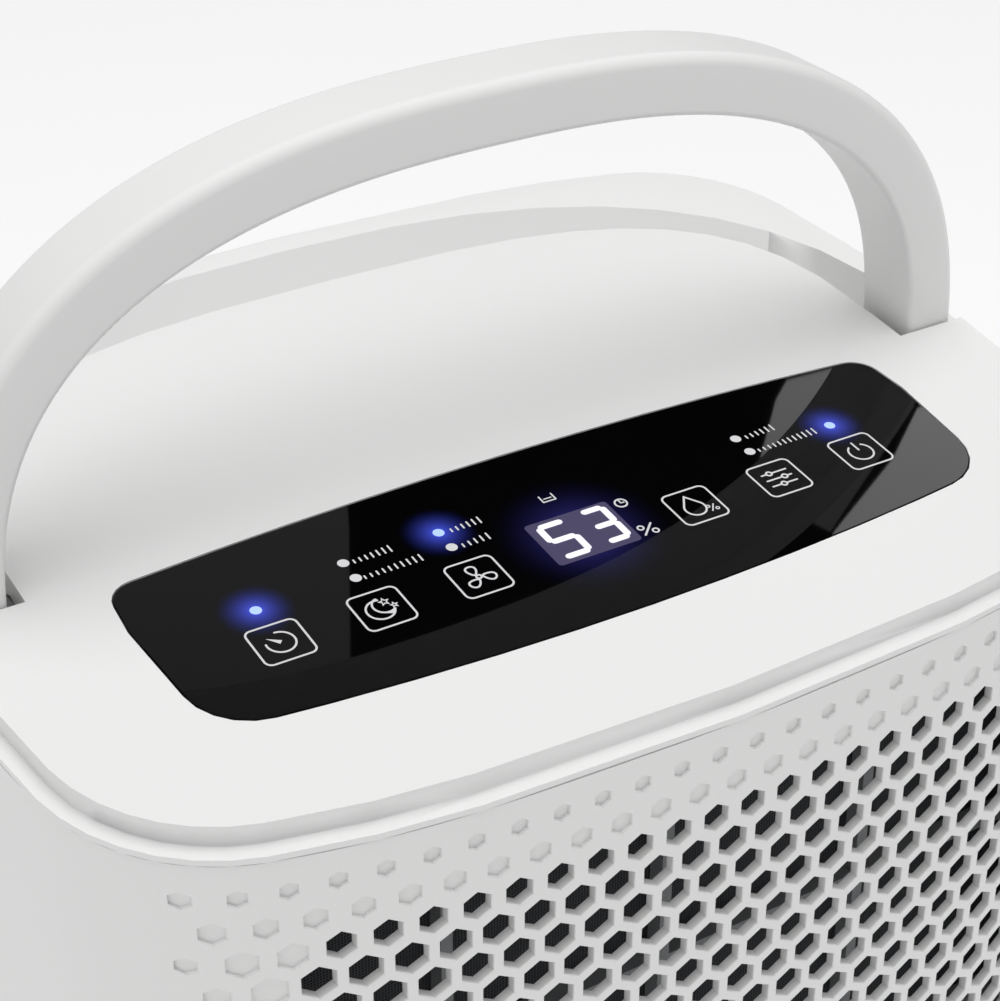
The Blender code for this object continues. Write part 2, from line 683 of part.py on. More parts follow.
def make_rear_shell():
    shell = shell_ring("rear_shell")
    cut(shell, box("front half", (-0.3, 0.3), (-0.3, GAP / 2), (0, 0.7)))
    opening = (-TANK_HALF - GAP, TANK_HALF + GAP)
    cut(shell, box("tank opening", opening, (0.05, 0.3), (TANK_BOTTOM - GAP, TANK_FACE_TOP + GAP)))
    slots = bmesh.new()
    slot_count = int((EXCHANGER_TOP - 0.01 - EXCHANGER_BOTTOM - 0.022) / EXHAUST_PITCH)
    for index in range(slot_count):
        low = EXCHANGER_BOTTOM + 0.022 + index * EXHAUST_PITCH
        for side in (-1, 1):
            across = sorted((side * EXHAUST_BAR, side * EXHAUST_HALF))
            add_box(slots, across, (0.06, 0.3), (low, low + EXHAUST_SLOT))
    cut(shell, from_bmesh("exhaust slots", slots))
    cup = cylinder("drain cup", (0, DRAIN_CUP_Y - WALL, DRAIN_Z), DRAIN_CUP_RADIUS + WALL, 0.1, "Y")
    join(shell, keep_inside(cup, prism("drain cup limit", plan(SEAM_OVERHANG + 0.001), level(0), level(1))))
    cut(
        shell,
        cylinder("drain cup inside", (0, DRAIN_CUP_Y, DRAIN_Z), DRAIN_CUP_RADIUS, 0.1, "Y"),
        cylinder("drain hole", (0, DRAIN_CUP_Y - 0.02, DRAIN_Z), NOZZLE_RADIUS + GAP, 0.1, "Y"),
        cylinder("gland hole", (GLAND_X, 0.06, GLAND_Z), GLAND_RADIUS + GAP, 0.1, "Y"),
    )
    for place, x, y, seat in screw_places()[2:]:
        shell_boss(shell, x, y, seat, (x, half_depth_at(x, SHELL_INNER) + 0.001))
    publish(shell, "rear_shell", "white_abs")


def make_cord_gland():
    flange_y = half_depth_at(GLAND_X + 0.008, SEAM_OVERHANG) + GAP
    profile = [
        (0.0032, 0.002), (0.008, 0.002), (0.009, 0.001), (0.009, 0), (GLAND_RADIUS, 0),
        (GLAND_RADIUS, -0.018), (0.0032, -0.018),
    ]
    gland = turned("cord_gland", profile, steps=14, closed=True)
    gland.location = (GLAND_X, flange_y, GLAND_Z)
    gland.rotation_euler = (-pi / 2, 0, 0)
    publish(gland, "cord_gland", "dark_grey_plastic")


# ---------------------------------------------------------------- handle
def make_handle():
    outer = bow(HANDLE_HALF_WIDTH, HANDLE_REACH, HANDLE_POWER, 28)
    inner = bow(LEG_INNER_X, HANDLE_REACH - HANDLE_THICKNESS, HANDLE_POWER, 28)
    half = HANDLE_DEPTH / 2
    handle = prism("carry_handle", outer + inner[::-1], level(-half), level(half))
    handle.data.transform(Matrix.Rotation(pi / 2, 4, "X"))
    handle.location = (0, PIVOT_Y, PIVOT_Z)
    for side in (-1, 1):
        inner_x = min(side * LEG_INNER_X, side * HANDLE_HALF_WIDTH)
        end = cylinder(f"leg end {side}", (inner_x, PIVOT_Y, PIVOT_Z), half, HANDLE_THICKNESS, "X")
        bore_x = min(side * (LEG_INNER_X - 0.001), side * (LEG_INNER_X + PIN_BITE + GAP))
        length = PIN_BITE + GAP + 0.001
        bore = cylinder(f"leg bore {side}", (bore_x, PIVOT_Y, PIVOT_Z), PIN_RADIUS + RUNNING_GAP, length, "X")
        join(handle, end)
        cut(handle, bore)
    publish(handle, "carry_handle", "white_abs")


def make_handle_pins():
    head_face = PLATEAU_SIDE_X - WALL - GAP
    profile = [
        (0, LEG_INNER_X + PIN_BITE), (PIN_RADIUS, LEG_INNER_X + PIN_BITE), (PIN_RADIUS, head_face),
        (PIN_HEAD_RADIUS, head_face), (PIN_HEAD_RADIUS, head_face - PIN_HEAD_LENGTH),
        (0, head_face - PIN_HEAD_LENGTH),
    ]
    for side, place in ((-1, "left"), (1, "right")):
        pin = turned(f"handle_pin_{place}", profile, steps=16)
        pin.location = (0, PIVOT_Y, PIVOT_Z)
        pin.rotation_euler = (0, side * pi / 2, 0)
        publish(pin, f"handle_pin_{place}", "steel")


# ---------------------------------------------------------------- control panel
def make_control_panel():
    publish(panel_prism("control_glass", 0, -GLASS_THICKNESS, 0), "control_glass", "black_glass")
    display_bottom = -0.0094
    display = panel_box("display_module", (-0.027, 0.033), (-0.012, 0.022), (display_bottom, -0.0029))
    publish(display, "display_module", "black_plastic")
    board_top = display_bottom - GAP
    board = panel_box("control_board", (-0.086, 0.086), (-0.020, 0.028), (board_top - BOARD_THICKNESS, board_top))
    join(board, panel_box("board chip", (0.045, 0.057), (-0.004, 0.008), (board_top - 0.001, board_top + 0.0016)))
    publish(board, "control_board", "green_board")


# ---------------------------------------------------------------- base and castors
def castor_places():
    return (
        ("front_left", -CASTOR_X, -CASTOR_Y), ("front_right", CASTOR_X, -CASTOR_Y),
        ("rear_left", -CASTOR_X, CASTOR_Y), ("rear_right", CASTOR_X, CASTOR_Y),
    )


def foot_places():
    places = []
    for index in range(3):
        angle = radians(90 + 120 * index)
        places.append((COMPRESSOR_X + 0.036 * cos(angle), COMPRESSOR_Y + 0.036 * sin(angle)))
    return places


def make_base_tray():
    tray = prism("base_tray", plan(SEAM_OVERHANG), level(BASE_Z), level(BASE_TOP))
    rim = prism("base rim", plan(SKIRT_INSET), level(BASE_Z + 0.001), level(BASE_TOP + BASE_RIM))
    inside = prism("base rim inside", plan(SKIRT_INSET + BASE_RIM_WALL), level(BASE_TOP), level(0.2))
    keep = box("tank way", (-TANK_HALF - 0.003, TANK_HALF + 0.003), (0.08, 0.3), (BASE_TOP, 0.3))
    pad_x = (-PAD_HALF_WIDTH, PAD_HALF_WIDTH)
    pad_y = (-PAD_HALF_DEPTH, PAD_HALF_DEPTH)
    pad = box("underside pad", pad_x, pad_y, (BASE_Z - PAD_RISE, BASE_Z + PAD_RISE))
    join(tray, rim, pad)
    cut(tray, inside, keep)
    for name, x, y in castor_places():
        join(tray, cylinder(f"socket {name}", (x, y, BASE_Z + 0.001), STEM_RADIUS + 0.0045, 0.021, segments=14))
        cut(tray, cylinder(f"socket bore {name}", (x, y, 0.02), STEM_RADIUS + RUNNING_GAP, 0.0345, segments=14))
    for index, (x, y) in enumerate(foot_places()):
        join(tray, cylinder(f"peg {index}", (x, y, BASE_Z + 0.001), PEG_RADIUS, 0.012, segments=10))
    publish(tray, "base_tray", "dark_grey_plastic")


def fork_mesh():
    top = BASE_Z - GAP
    cheek_inner = WHEEL_HALF_WIDTH + 0.0011
    fork = cylinder("fork", (0, 0, top - 0.0041), 0.011, 0.0041, segments=16)
    join(fork, cylinder("stem", (0, 0, top - 0.002), STEM_RADIUS, STEM_LENGTH + 0.002, segments=14))
    for side in (-1, 1):
        across = sorted((side * cheek_inner, side * (cheek_inner + FORK_CHEEK)))
        cheek = box(f"cheek {side}", across, (-0.007, CASTOR_TRAIL + 0.006), (WHEEL_RADIUS - 0.005, top - 0.001))
        join(fork, cheek)
    start = (-0.02, CASTOR_TRAIL, WHEEL_RADIUS)
    cut(fork, cylinder("axle bore", start, AXLE_RADIUS + RUNNING_GAP, 0.04, "X", segments=12))
    return baked_mesh(fork)


def wheel_mesh():
    half = WHEEL_HALF_WIDTH
    end = half + 0.0011 + FORK_CHEEK
    profile = [
        (0, end), (AXLE_RADIUS, end), (AXLE_RADIUS, half), (WHEEL_RADIUS - 0.0015, half),
        (WHEEL_RADIUS, half - 0.0015), (WHEEL_RADIUS, 0.0015 - half), (WHEEL_RADIUS - 0.0015, -half),
        (AXLE_RADIUS, -half), (AXLE_RADIUS, -end), (0, -end),
    ]
    mesh = baked_mesh(turned("wheel", profile, steps=22))
    mesh.transform(Matrix.Rotation(pi / 2, 4, "Y"))
    return mesh


def make_castors():
    fork = fork_mesh()
    wheel = wheel_mesh()
    for name, x, y in castor_places():
        holder = tool(f"fork {name}", fork)
        holder.location = (x, y, 0)
        publish(holder, f"castor_fork_{name}", "dark_grey_plastic")
        roller = tool(f"wheel {name}", wheel)
        roller.location = (x, y + CASTOR_TRAIL, WHEEL_RADIUS)
        publish(roller, f"castor_wheel_{name}", "grey_plastic")


# ---------------------------------------------------------------- chassis
def make_chassis():
    wall = 0.0024
    outer = BAY_HALF + wall
    front = TANK_FRONT_Y - 0.0011
    back = half_depth_at(outer, SKIRT_INSET + BASE_RIM_WALL) - GAP
    chassis = box("chassis", (-outer, outer), (front - wall, back), (SHELL_BOTTOM, SHELF_Z + 0.001))
    inside = box("bay", (-BAY_HALF, BAY_HALF), (front, 0.2), (0.02, SHELF_Z - wall))
    cut(chassis, inside)
    shelf = prism("shelf", plan(SHELL_INNER + 0.0016), level(SHELF_Z), level(SHELF_TOP))
    join(chassis, shelf)
    pipes_x = (EXCHANGER_HALF + 0.014, EXCHANGER_HALF + 0.036)
    pipes_y = (EVAPORATOR_Y + 0.003, CONDENSER_Y + 0.021)
    cut(
        chassis,
        box("pipe way", pipes_x, pipes_y, (SHELF_Z - 0.02, SHELF_TOP + 0.01)),
        cylinder("drip way", (0, DRIP_POINT_Y, SHELF_Z - 0.02), 0.0062, 0.05, segments=20),
        cylinder("drain cup way", (0, DRAIN_CUP_Y - WALL - GAP, DRAIN_Z), DRAIN_CUP_RADIUS + WALL + GAP, 0.1, "Y"),
    )
    publish(chassis, "chassis", "dark_grey_plastic")


# ---------------------------------------------------------------- water tank
def make_water_tank():
    wide = (-TANK_HALF, TANK_HALF)
    front = TANK_FRONT_Y
    tank = box("water_tank", wide, (front, 0.3), (TANK_BOTTOM, TANK_RIM))
    face_front = half_depth_at(TANK_HALF, SHELL_INNER) - 0.0028
    face = box("tank face", wide, (face_front, 0.3), (TANK_RIM - 0.001, TANK_FACE_TOP))
    join(tank, face)
    keep_inside(tank, prism("tank limit", plan(SEAM_OVERHANG), level(0), level(0.5)))
    inner_half = TANK_HALF - TANK_WALL
    cavity = box(
        "tank cavity", (-inner_half, inner_half), (front + TANK_WALL, 0.3), (TANK_BOTTOM + TANK_WALL, TANK_RIM + 0.1)
    )
    keep_inside(cavity, prism("tank cavity limit", plan(SEAM_OVERHANG + 0.0026), level(0), level(TANK_FACE_TOP + 0.1)))
    cut(tank, cavity)
    grip_back = half_depth_at(0, SEAM_OVERHANG) - GRIP_DEPTH
    grip_top = TANK_RIM - 0.010
    grip_z = (grip_top - GRIP_HEIGHT, grip_top)
    pad = 0.0022
    pocket = box(
        "grip pocket", (-GRIP_HALF_WIDTH - pad, GRIP_HALF_WIDTH + pad), (grip_back - pad, 0.3),
        (grip_z[0] - pad, grip_z[1] + pad),
    )
    keep_inside(pocket, prism("pocket limit", plan(SEAM_OVERHANG + 0.0012), level(0), level(0.5)))
    join(tank, pocket)
    cut(tank, box("grip", (-GRIP_HALF_WIDTH, GRIP_HALF_WIDTH), (grip_back, 0.3), grip_z))
    publish(tank, "water_tank", "clear_tank")


def float_pivot():
    return (FLOAT_PIVOT_X, DRIP_POINT_Y + 0.010, TANK_RIM - FLOAT_PIVOT_DROP)


def make_tank_lid():
    low = TANK_RIM + GAP
    back = half_depth_at(TANK_HALF, SHELL_INNER) - 0.0028 - GAP
    lid = box("tank_lid", (-TANK_HALF, TANK_HALF), (TANK_FRONT_Y, back), (low, low + LID_THICKNESS))
    lip_half = TANK_HALF - TANK_WALL - GAP
    lip_front = TANK_FRONT_Y + TANK_WALL + GAP
    lip = box("lid lip", (-lip_half, lip_half), (lip_front, back - 0.004), (low - 0.005, low + 0.001))
    inside = box(
        "lid lip inside", (-lip_half + 0.002, lip_half - 0.002), (lip_front + 0.002, back - 0.006),
        (low - 0.01, low),
    )
    join(lid, lip)
    cut(lid, inside, cylinder("drip hole", (0, DRIP_POINT_Y, low - 0.02), 0.009, 0.04))
    px, py, pz = float_pivot()
    for side in (-1, 1):
        middle = py + side * 0.0148
        lug = box(f"float lug {side}", (px - 0.005, px + 0.005), (middle - 0.0012, middle + 0.0012), (pz - 0.005, low + 0.001))
        join(lid, lug)
    cut(lid, cylinder("lug bore", (px, py - 0.03, pz), FLOAT_PIN_RADIUS + RUNNING_GAP, 0.06, "Y", segments=16))
    publish(lid, "tank_lid", "grey_plastic")


def make_tank_float():
    px, py, pz = float_pivot()
    body = box("tank_float", (px - 0.055, px - 0.025), (py - 0.012, py + 0.012), (pz - 0.018, pz - 0.002))
    arm = box("float arm", (px - 0.030, px + 0.003), (py - 0.003, py + 0.003), (pz - 0.003, pz + 0.0025))
    pin = cylinder("float pin", (px, py - 0.0164, pz), FLOAT_PIN_RADIUS, 0.0328, "Y", segments=16)
    join(body, arm, pin)
    set_origin(body, (px, py, pz))
    publish(body, "tank_float", "white_abs")


def make_tank_switch():
    px, py, _ = float_pivot()
    top = SHELF_Z - 0.0024 - GAP
    switch = box("tank_switch", (px - 0.049, px - 0.031), (py - 0.010, py + 0.010), (top - 0.0085, top))
    publish(switch, "tank_switch", "black_plastic")


# ---------------------------------------------------------------- drip tray and drain
def make_drip_tray():
    bottom = SHELF_TOP + GAP
    top = bottom + TRAY_HEIGHT
    half = EXCHANGER_HALF + 0.012
    front = EVAPORATOR_Y - 0.004
    back = CONDENSER_Y + EXCHANGER_DEPTH + 0.003
    end = DRIP_POINT_Y + 0.0085
    gutter = 0.009
    tray = box("drip_tray", (-half, half), (front, back), (bottom, top))
    join(tray, box("gutter", (-gutter, gutter), (back - 0.001, end), (bottom, bottom + 0.010)))
    start = (0, DRIP_POINT_Y, SHELF_Z - 0.010)
    join(tray, cylinder("spout", start, 0.0056, 0.014, segments=20))
    wall = TRAY_WALL
    inner_back = back - wall
    cut(
        tray,
        box("tray inside", (-half + wall, half - wall), (front + wall, inner_back), (bottom + wall, top + 0.1)),
        box("gutter inside", (wall - gutter, gutter - wall), (inner_back - 0.001, end - wall), (bottom + wall, top + 0.1)),
        cylinder("spout bore", (0, DRIP_POINT_Y, SHELF_Z - 0.02), 0.004, 0.05, segments=20),
        cylinder("drain bore", (0, end - 0.006, DRAIN_Z), 0.0032, 0.01, "Y", segments=16),
    )
    publish(tray, "drip_tray", "grey_plastic")


def make_drain():
    start = DRIP_POINT_Y + 0.0085 + GAP
    tip = HALF_DEPTH - 0.0075
    length = tip - start
    barb = NOZZLE_RADIUS - 0.0005
    profile = [
        (0.004, 0), (barb - 0.0006, 0), (barb, -0.004), (barb - 0.0006, -0.0042), (barb - 0.0006, -0.014),
        (NOZZLE_RADIUS, -0.0145), (NOZZLE_RADIUS, -length), (0.004, -length),
    ]
    nozzle = turned("drain_nozzle", profile, steps=14, closed=True)
    nozzle.location = (0, tip, DRAIN_Z)
    nozzle.rotation_euler = (-pi / 2, 0, 0)
    publish(nozzle, "drain_nozzle", "grey_plastic")
    inner = barb + RUNNING_GAP
    profile = [
        (0, 0.003), (0.0075, 0.003), (0.0085, 0.002), (0.0085, -0.009), (inner, -0.009), (inner, GAP), (0, GAP),
    ]
    cap = turned("drain_cap", profile, steps=14)
    cap.location = (0, tip, DRAIN_Z)
    cap.rotation_euler = (-pi / 2, 0, 0)
    publish(cap, "drain_cap", "rubber")


# ---------------------------------------------------------------- filter
FILTER_LOW = EXCHANGER_BOTTOM + 0.006
FILTER_HIGH = EXCHANGER_TOP
FILTER_LEFT = -(EXCHANGER_HALF + 0.028)
FILTER_RIGHT = EXCHANGER_HALF + 0.030


def make_filter():
    depth = (FILTER_Y, FILTER_Y + FILTER_THICKNESS)
    frame = box("filter_frame", (FILTER_LEFT, 0.3), depth, (FILTER_LOW, FILTER_HIGH))
    cap = box("filter cap", (FILTER_RIGHT, 0.3), (FILTER_Y, FILTER_Y + 0.0078), (FILTER_LOW, FILTER_HIGH))
    join(frame, cap)
    keep_inside(frame, prism("filter limit", plan(SEAM_OVERHANG), level(0), level(1)))
    windows = bmesh.new()
    columns, rows = 4, 3
    bar = FILTER_BAR
    left, right = FILTER_LEFT + bar, FILTER_RIGHT - 0.004
    low, high = FILTER_LOW + bar, FILTER_HIGH - bar
    pitch_x = (right - left + bar) / columns
    pitch_z = (high - low + bar) / rows
    for column in range(columns):
        for row in range(rows):
            x = left + column * pitch_x
            z = low + row * pitch_z
            add_box(windows, (x, x + pitch_x - bar), (FILTER_Y - 0.01, FILTER_Y + 0.02), (z, z + pitch_z - bar))
    cut(frame, from_bmesh("filter windows", windows))
    publish(frame, "filter_frame", "grey_plastic")
    mesh_front = FILTER_Y + FILTER_THICKNESS + GAP
    net = box(
        "filter_mesh", (FILTER_LEFT + 0.0015, FILTER_RIGHT - 0.002), (mesh_front, mesh_front + MESH_THICKNESS),
        (FILTER_LOW + 0.0015, FILTER_HIGH - 0.0015),
    )
    publish(net, "filter_mesh", "filter_net")


# ---------------------------------------------------------------- heat exchangers and pipes
def tube_heights():
    rows = 2 * TUBE_PAIRS
    pitch = (EXCHANGER_TOP - EXCHANGER_BOTTOM - 0.022) / (rows - 1)
    return [EXCHANGER_BOTTOM + 0.011 + index * pitch for index in range(rows)]


def return_bend(name, side, x, y, low, high):
    """A flat U that links two tubes at one end of the fin pack."""
    middle, reach = (low + high) / 2, (high - low) / 2
    radius = 0.0032
    loop = []
    for index in range(5):
        angle = -pi / 2 + pi * index / 4
        loop.append((cos(angle) * (reach + radius), sin(angle) * (reach + radius)))
    for index in range(5):
        angle = pi / 2 - pi * index / 4
        loop.append((cos(angle) * (reach - radius), sin(angle) * (reach - radius)))
    made = prism(name, loop, level(-radius), level(radius))
    made.data.transform(Matrix.Diagonal((0.6 * side, 1, 1, 1)))
    made.data.transform(Matrix.Rotation(pi / 2, 4, "X"))
    made.data.transform(Matrix.Translation((x, y, middle)))
    if side > 0:
        return made
    made.data.flip_normals()
    return made


def make_exchanger(node, front):
    half = EXCHANGER_HALF
    core = box(node, (-half, half), (front, front + EXCHANGER_DEPTH), (EXCHANGER_BOTTOM, EXCHANGER_TOP))
    grooves = bmesh.new()
    count = 9
    pitch = (2 * half - 0.006) / count
    for index in range(count):
        x = -half + 0.003 + (index + 0.5) * pitch
        for depth in ((front - 0.01, front + 0.006), (front + EXCHANGER_DEPTH - 0.006, front + EXCHANGER_DEPTH + 0.01)):
            add_box(grooves, (x - pitch * 0.3, x + pitch * 0.3), depth, (EXCHANGER_BOTTOM - 0.01, EXCHANGER_TOP + 0.01))
    cut(core, from_bmesh(f"{node} grooves", grooves))
    heights = tube_heights()
    middle = front + EXCHANGER_DEPTH / 2
    for index in range(0, len(heights) - 1, 2):
        join(core, return_bend(f"{node} left {index}", -1, -half + 0.0005, middle, heights[index], heights[index + 1]))
    for index in range(1, len(heights) - 2, 2):
        join(core, return_bend(f"{node} right {index}", 1, half - 0.0005, middle, heights[index], heights[index + 1]))
    publish(core, node, "aluminium")


def make_compressor():
    foot_top = BASE_TOP + GAP + FOOT_HEIGHT
    bottom = foot_top + GAP
    top = SHELF_Z - 0.0195
    radius = COMPRESSOR_RADIUS
    profile = [
        (0, top), (0.008, top), (0.020, top - 0.002), (0.034, top - 0.009), (radius, top - 0.021),
        (radius, bottom + 0.018), (radius - 0.004, bottom + 0.008), (radius - 0.012, bottom + 0.003),
        (COMPRESSOR_FOOT_RADIUS, bottom + 0.003), (COMPRESSOR_FOOT_RADIUS, bottom), (0, bottom),
    ]
    body = turned("compressor", profile, steps=20)
    body.location = (COMPRESSOR_X, COMPRESSOR_Y, 0)
    publish(body, "compressor", "compressor_black")
    bore = PEG_RADIUS + GAP
    height = FOOT_HEIGHT
    foot = [(bore, height), (0.0065, height), (0.0065, 0.008), (0.0052, 0.006), (0.008, 0.002), (0.008, 0), (bore, 0)]
    for index, (x, y) in enumerate(foot_places()):
        made = turned(f"compressor_foot_{index + 1}", foot, steps=12, closed=True)
        made.location = (x, y, BASE_TOP + GAP)
        publish(made, f"compressor_foot_{index + 1}", "rubber")


ACCUMULATOR = (COMPRESSOR_X + 0.064, COMPRESSOR_Y - 0.016)
ACCUMULATOR_LOW = 0.074
ACCUMULATOR_HIGH = 0.160


def make_accumulator():
    low, high, radius = ACCUMULATOR_LOW, ACCUMULATOR_HIGH, ACCUMULATOR_RADIUS
    profile = [
        (0, high), (0.0042, high), (0.0042, high - 0.006), (radius - 0.003, high - 0.010), (radius, high - 0.016),
        (radius, low + 0.014), (radius - 0.004, low + 0.007), (0.0042, low + 0.005), (0.0042, low), (0, low),
    ]
    body = turned("accumulator", profile, steps=14)
    body.location = (*ACCUMULATOR, 0)
    publish(body, "accumulator", "copper")


def make_pipes():
    heights = tube_heights()
    end_x = EXCHANGER_HALF + GAP
    evaporator_y = EVAPORATOR_Y + EXCHANGER_DEPTH / 2
    condenser_y = CONDENSER_Y + EXCHANGER_DEPTH / 2
    ax, ay = ACCUMULATOR
    suction_x = EXCHANGER_HALF + 0.022
    suction = [
        (ax, ay, ACCUMULATOR_HIGH + GAP), (ax, ay, ACCUMULATOR_HIGH + 0.010),
        (ax + 0.014, ay, ACCUMULATOR_HIGH + 0.022), (suction_x - 0.020, evaporator_y - 0.002, SHELF_Z - 0.030),
        (suction_x, evaporator_y, SHELF_Z - 0.008), (suction_x, evaporator_y, heights[0] - 0.014),
        (suction_x - 0.006, evaporator_y, heights[0] - 0.002), (end_x + 0.008, evaporator_y, heights[0]),
        (end_x, evaporator_y, heights[0]),
    ]
    publish(pipe("suction_pipe", suction, PIPE_RADIUS, 0.013), "suction_pipe", "copper")
    discharge_x = EXCHANGER_HALF + 0.030
    top = SHELF_Z - 0.0195
    discharge = [
        (COMPRESSOR_X, COMPRESSOR_Y, top + GAP), (COMPRESSOR_X, COMPRESSOR_Y, top + 0.005),
        (COMPRESSOR_X + 0.014, COMPRESSOR_Y + 0.004, top + 0.0115), (0.0, condenser_y - 0.012, top + 0.009),
        (discharge_x - 0.020, condenser_y, top - 0.004), (discharge_x - 0.004, condenser_y, top + 0.006),
        (discharge_x, condenser_y, SHELF_Z + 0.010), (discharge_x, condenser_y, heights[-1] - 0.016),
        (discharge_x - 0.006, condenser_y, heights[-1] - 0.003), (end_x + 0.010, condenser_y, heights[-1]),
        (end_x, condenser_y, heights[-1]),
    ]
    publish(pipe("discharge_pipe", discharge, PIPE_RADIUS, 0.020), "discharge_pipe", "copper")
    loop_x = EXCHANGER_HALF + 0.013
    capillary = [
        (end_x, condenser_y, heights[0]), (loop_x - 0.004, condenser_y, heights[0] + 0.001),
        (loop_x, condenser_y - 0.002, heights[0] + 0.010), (loop_x, (condenser_y + evaporator_y) / 2, FAN_Z),
        (loop_x, evaporator_y + 0.002, heights[-1] - 0.012), (loop_x - 0.004, evaporator_y, heights[-1] - 0.001),
        (end_x, evaporator_y, heights[-1]),
    ]
    publish(pipe("capillary_tube", capillary, CAPILLARY_RADIUS, 0.020), "capillary_tube", "copper")
    low = ACCUMULATOR_LOW
    side_x = COMPRESSOR_X + COMPRESSOR_RADIUS + GAP
    link = [
        (ax, ay, low - GAP), (ax, ay, low - 0.005), (ax - 0.004, ay + 0.002, low - 0.009),
        (side_x + 0.012, COMPRESSOR_Y - 0.005, low - 0.006), (side_x + 0.007, COMPRESSOR_Y, low),
        (side_x + 0.003, COMPRESSOR_Y, low + 0.001), (side_x, COMPRESSOR_Y, low + 0.001),
    ]
    publish(pipe("accumulator_pipe", link, PIPE_RADIUS - 0.0004, 0.006), "accumulator_pipe", "copper")


# ---------------------------------------------------------------- fan
FAN_TURN = (pi / 2, 0, 0)        # a turned piece's own +Z then points to the front


def make_fan_shroud():
    half = EXCHANGER_HALF + 0.012
    plate_y = (SHROUD_Y, SHROUD_Y + SHROUD_THICKNESS)
    shroud = box("fan_shroud", (-half, half), plate_y, (SHELF_TOP + GAP, EXCHANGER_TOP + 0.004))
    start = (0, SHROUD_Y + 0.0005, FAN_Z)
    join(shroud, cylinder("orifice ring", start, FAN_RADIUS + SHROUD_RING, SHROUD_LENGTH, "Y", segments=28))
    cut(
        shroud,
        cylinder("orifice", (0, SHROUD_Y - 0.01, FAN_Z), FAN_RADIUS, 0.1, "Y", segments=28),
        box("gutter way", (-0.011, 0.011), (SHROUD_Y - 0.01, SHROUD_Y + 0.01), (0.1, SHELF_TOP + 0.0125)),
    )
    publish(shroud, "fan_shroud", "black_plastic")


def make_blade():
    """A twisted plate between the hub and the tip, in the impeller's own frame."""
    shape = bmesh.new()
    bmesh.ops.create_grid(shape, x_segments=3, y_segments=4, size=0.5)
    root = HUB_RADIUS - 0.003
    tip = FAN_RADIUS - BLADE_CLEARANCE
    for corner in shape.verts:
        out, chord = corner.co.x + 0.5, corner.co.y
        radius = root + (tip - root) * out
        angle = chord * radians(62 - 14 * out) + radians(10) * out
        rise = -chord * (0.020 - 0.004 * out) + 0.0015 * cos(chord * pi) - 0.002
        corner.co = (radius * cos(angle), radius * sin(angle), rise)
    blade = from_bmesh("blade", shape)
    thicken = blade.modifiers.new("thickness", "SOLIDIFY")
    thicken.thickness = 0.002
    thicken.offset = 0
    return baked_mesh(blade)


def make_fan_impeller():
    front = 0.012
    profile = [
        (0, front), (0.014, front - 0.001), (0.021, front - 0.004), (HUB_RADIUS, front - 0.009),
        (HUB_RADIUS, -0.014), (SHAFT_RADIUS + RUNNING_GAP, -0.014), (SHAFT_RADIUS + RUNNING_GAP, 0), (0, 0),
    ]
    impeller = turned("fan_impeller", profile, steps=20)
    centre = Vector((0, SHROUD_Y + 0.016, FAN_Z))
    impeller.location = centre
    impeller.rotation_euler = FAN_TURN
    frame = Matrix.Translation(centre) @ Matrix.Rotation(pi / 2, 4, "X")
    blade = make_blade()
    for index in range(BLADES):
        copy = tool(f"blade {index}", blade)
        copy.matrix_world = frame @ Matrix.Rotation(2 * pi * index / BLADES, 4, "Z")
        join(impeller, copy)
    publish(impeller, "fan_impeller", "black_plastic")


def make_fan_motor():
    shaft_tip = MOTOR_Y - (SHROUD_Y + 0.016) - GAP
    radius = MOTOR_RADIUS
    profile = [
        (0, shaft_tip), (SHAFT_RADIUS, shaft_tip), (SHAFT_RADIUS, 0.004), (0.011, 0.004), (0.011, 0),
        (radius - 0.004, 0), (radius, -0.005), (radius, -MOTOR_LENGTH + 0.006), (radius - 0.006, -MOTOR_LENGTH),
        (0, -MOTOR_LENGTH),
    ]
    motor = turned("fan_motor", profile, steps=18)
    motor.location = (0, MOTOR_Y, FAN_Z)
    motor.rotation_euler = FAN_TURN
    publish(motor, "fan_motor", "steel")


def make_motor_bracket():
    front = MOTOR_Y + 0.012
    inner = MOTOR_RADIUS + GAP
    depth = 0.006
    bracket = cylinder("motor_bracket", (0, front, FAN_Z), inner + 0.0042, depth, "Y", segments=20)
    leg_inner = FAN_RADIUS + SHROUD_RING + GAP + 0.0006
    leg_outer = leg_inner + 0.006
    for index, angle in enumerate((30, 150, 270)):
        place = Matrix.Translation((0, 0, FAN_Z)) @ Matrix.Rotation(-radians(angle), 4, "Y")
        arm = box(f"bracket arm {index}", (inner + 0.001, leg_outer - 0.0005), (front, front + depth), (-0.004, 0.004))
        leg_front = SHROUD_Y + SHROUD_THICKNESS + GAP
        leg = box(f"bracket leg {index}", (leg_inner, leg_outer), (leg_front, front + 0.003), (-0.0035, 0.0035))
        arm.data.transform(place)
        leg.data.transform(place)
        join(bracket, arm, leg)
    sides = 20
    bore = cylinder("bracket bore", (0, front - 0.01, FAN_Z), inner / cos(pi / sides), 0.03, "Y", segments=sides)
    cut(bracket, bore)
    publish(bracket, "motor_bracket", "steel")


